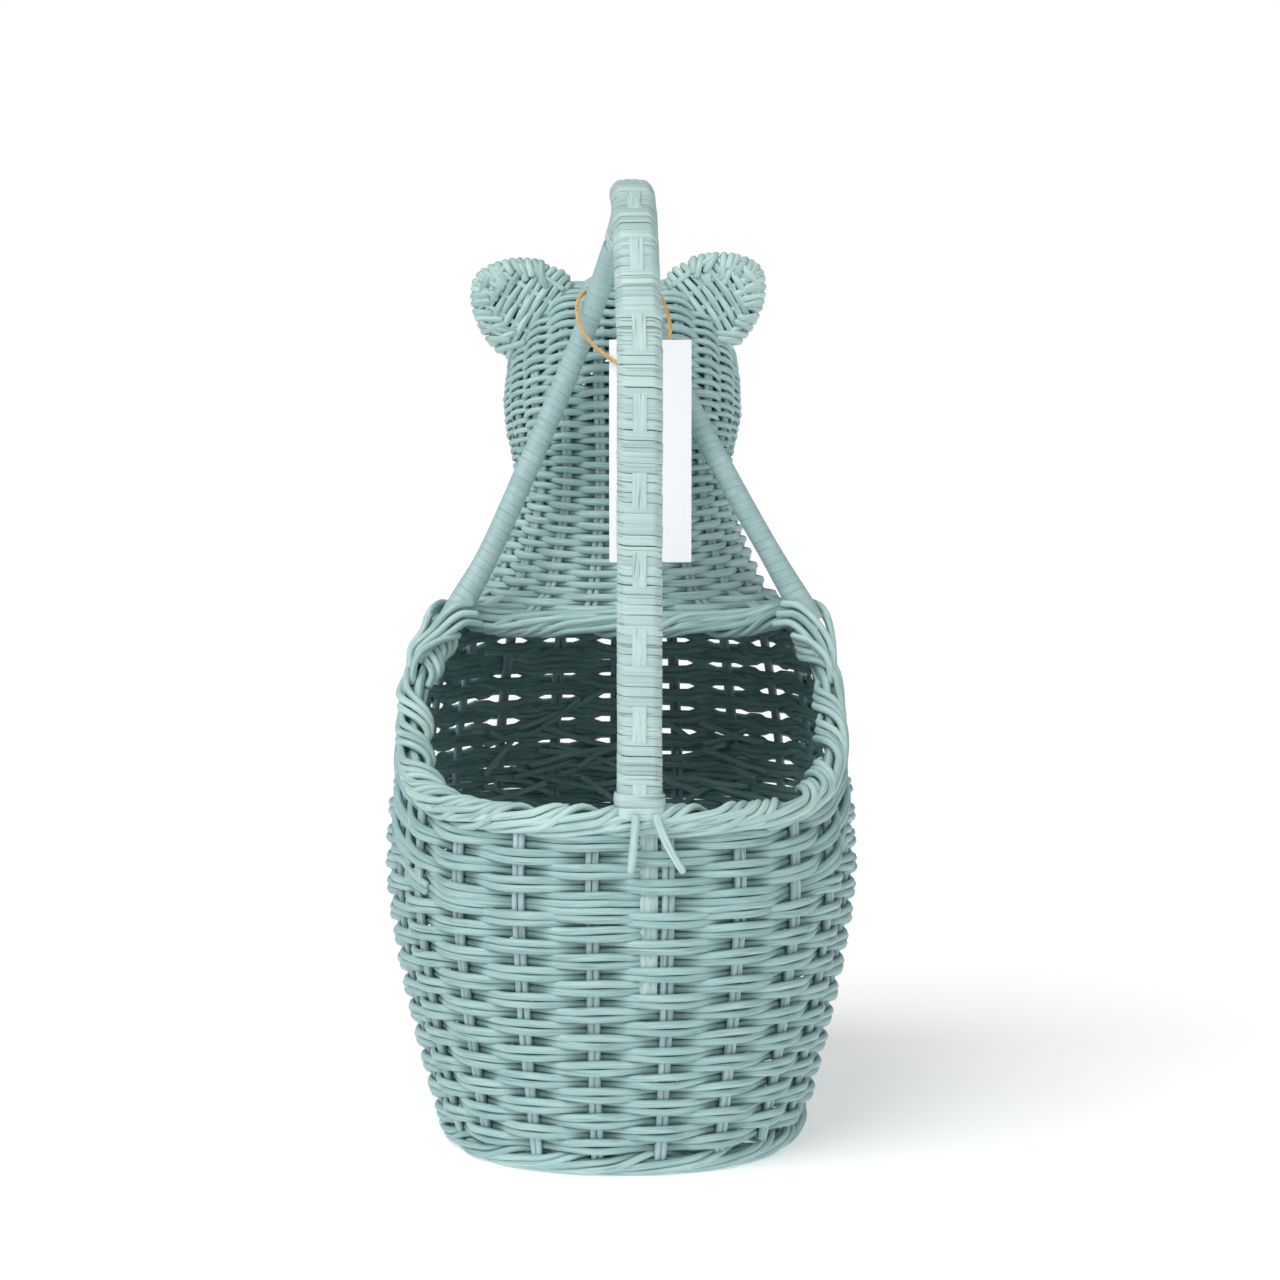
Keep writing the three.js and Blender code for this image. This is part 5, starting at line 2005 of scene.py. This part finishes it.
@dataclass
class HangTag:
    """The hang tag: its twine, three plies twisted round one route, and the card's finish.

    Args:
        knots: Points that the twine passes, the same as the solid part's.
        diameter: Thickness of the twine; not used.
        ply_radius: Half thickness of a ply.
        ply_stand: Distance from the route to a ply's middle.
        twist: Distance in which the plies turn once.
    """

    knots: tuple[Triple, ...] = (
        (11.5, -12.9, 302.8), (11.5, -15.0, 303.0), (9.7, -16.9, 303.3), (5.0, -17.0, 304.4),
        (-2.0, -17.0, 308.0), (-10.6, -16.4, 314.2), (-15.7, -15.2, 320.6), (-17.9, -12.2, 328.0),
        (-17.0, -7.0, 334.2), (-13.0, -2.0, 337.6), (-6.0, 0.2, 339.2), (2.0, 0.4, 339.6),
        (9.5, -0.4, 338.6), (14.8, -3.4, 335.6), (18.0, -9.4, 329.4), (19.4, -13.2, 322.4),
        (18.9, -13.6, 315.4), (16.4, -13.6, 309.2), (13.3, -13.6, 305.8),
    )
    diameter: float = 1.6
    ply_radius: float = 0.46
    ply_stand: float = 0.42
    twist: float = 6.0

    def __post_init__(self) -> None:
        """Lays the route."""
        self.route = catmull_rom(np.array(self.knots), np.linspace(0, 1, 260))

    @property
    def length(self) -> float:
        """Length of the route in millimetres."""
        return float(distances(self.route)[-1])

    def twine(self) -> Item:
        """The twine's three plies.

        Returns:
            The twine.
        """
        tangent = unit(np.gradient(self.route, axis=0))
        first = unit(np.cross(tangent, np.array([0.13, 0.2, 0.97])))
        second = np.cross(tangent, first)
        travelled = distances(self.route)
        strands = StrandSet(seed=14)
        for ply in range(3):
            turn = 2 * np.pi * (travelled / self.twist + ply / 3)
            away = np.cos(turn)[:, None] * first + np.sin(turn)[:, None] * second
            strands.add(self.route + self.ply_stand * away, away, self.ply_radius)
        return strands.build("twine_plies")

    def dress(self) -> None:
        item = self.twine()
        dress(item, TWINE_FINISH, ["twine"], Body.TAG)
        path = self.route[::4] * MM
        repaint("tag", CARD_FINISH)


# ---- The studio and the whole ----


@dataclass(frozen=True)
class Lamp:
    """A broad distant light.

    Args:
        name: Name of the light.
        towards: Direction from the basket to the light.
        spread: Width of the light as seen from the basket, in degrees.
        strength: Strength of the light.
    """

    name: str
    towards: Triple
    spread: float
    strength: float

    def hang(self) -> None:
        """Adds the light to the scene."""
        data = bpy.data.lights.new(self.name, "SUN")
        data.energy, data.angle = self.strength, np.radians(self.spread)
        item = bpy.data.objects.new(self.name, data)
        item.rotation_euler = Vector(self.towards).to_track_quat("Z", "Y").to_euler()
        bpy.context.scene.collection.objects.link(item)


@dataclass(frozen=True)
class Studio:
    """Camera, floor, lights and surroundings.

    Args:
        camera_at: Place of the camera.
        pitch: Angle of the camera from looking straight down, in degrees.
        lens: Focal length.
        sensor: Width of the camera's sensor.
        sight: How far the camera sees, in metres.
        floor_half: Half size of the floor.
        floor_glow: Light that the floor gives off, so that it is as pale as the background.
        ambient: Strength of the even light from all round.
        lamps: The lights: a key from the upper left and a fill from the right, both from behind
            the camera.
    """

    camera_at: Triple = (7.35, -1197.6, 274.7)
    pitch: float = 86.22
    lens: float = 82.7
    sensor: float = 36.0
    sight: float = 50.0
    floor_half: float = 6000.0
    floor_glow: float = 0.34
    ambient: float = 0.3
    lamps: tuple[Lamp, ...] = (
        Lamp("key", (-0.75, -0.9, 1.2), spread=50, strength=2.0),
        Lamp("fill", (0.9, -1.0, 0.45), spread=60, strength=0.5),
    )

    def camera(self) -> None:
        """Adds a camera at the photograph's place, with its field of view."""
        data = bpy.data.cameras.new("camera")
        data.lens, data.sensor_width, data.sensor_height = self.lens, self.sensor, self.sensor
        data.clip_end = self.sight
        item = bpy.data.objects.new("camera", data)
        item.location = Vector(self.camera_at) * MM
        item.rotation_euler = (np.radians(self.pitch), 0, 0)
        bpy.context.scene.collection.objects.link(item)
        bpy.context.scene.camera = item

    def floor(self) -> None:
        """Adds a wide pale floor under the basket."""
        half = self.floor_half
        points = np.array([(-half, -half, 0), (half, -half, 0), (half, half, 0), (-half, half, 0)])
        item = mesh_object("floor", points, np.arange(4), np.array([0]))
        material = material_of(FLOOR_FINISH)
        shader = next(node for node in material.node_tree.nodes if node.type == "BSDF_PRINCIPLED")
        shader.inputs["Emission Color"].default_value = (1, 1, 1, 1)
        shader.inputs["Emission Strength"].default_value = self.floor_glow
        item.data.materials.append(material)

    def surroundings(self) -> None:
        """Makes the world: white to the camera, and an even soft light to everything else."""
        world = bpy.data.worlds.new("surroundings")
        world.use_nodes = True
        nodes, links = world.node_tree.nodes, world.node_tree.links
        light = nodes["Background"]
        light.inputs["Color"].default_value = (1, 1, 1, 1)
        light.inputs["Strength"].default_value = self.ambient
        white = nodes.new("ShaderNodeBackground")
        white.inputs["Color"].default_value = (1, 1, 1, 1)
        ray = nodes.new("ShaderNodeLightPath")
        mix = nodes.new("ShaderNodeMixShader")
        links.new(ray.outputs["Is Camera Ray"], mix.inputs["Fac"])
        links.new(light.outputs["Background"], mix.inputs[1])
        links.new(white.outputs["Background"], mix.inputs[2])
        links.new(mix.outputs["Shader"], nodes["World Output"].inputs["Surface"])
        bpy.context.scene.world = world

    def build(self) -> None:
        """Sets up the whole studio."""
        bpy.context.scene.view_settings.view_transform = "Standard"
        self.camera()
        self.floor()
        for lamp in self.lamps:
            lamp.hang()
        self.surroundings()


def main() -> None:
    """Builds the studio, then the sub-assemblies in order."""
    logging.basicConfig(level=logging.INFO, format="%(name)s %(message)s")
    Studio().build()
    body = BodyShape()
    head = HeadShape(body)
    handle = HandleShape(body)
    weaves = (BodyWeave(body), HeadWeave(head), Borders(body, head, handle))
    for assembly in (HangTag(), *weaves, *EARS, Windings(handle)):
        assembly.dress()


if __name__ == "__main__":
    main()
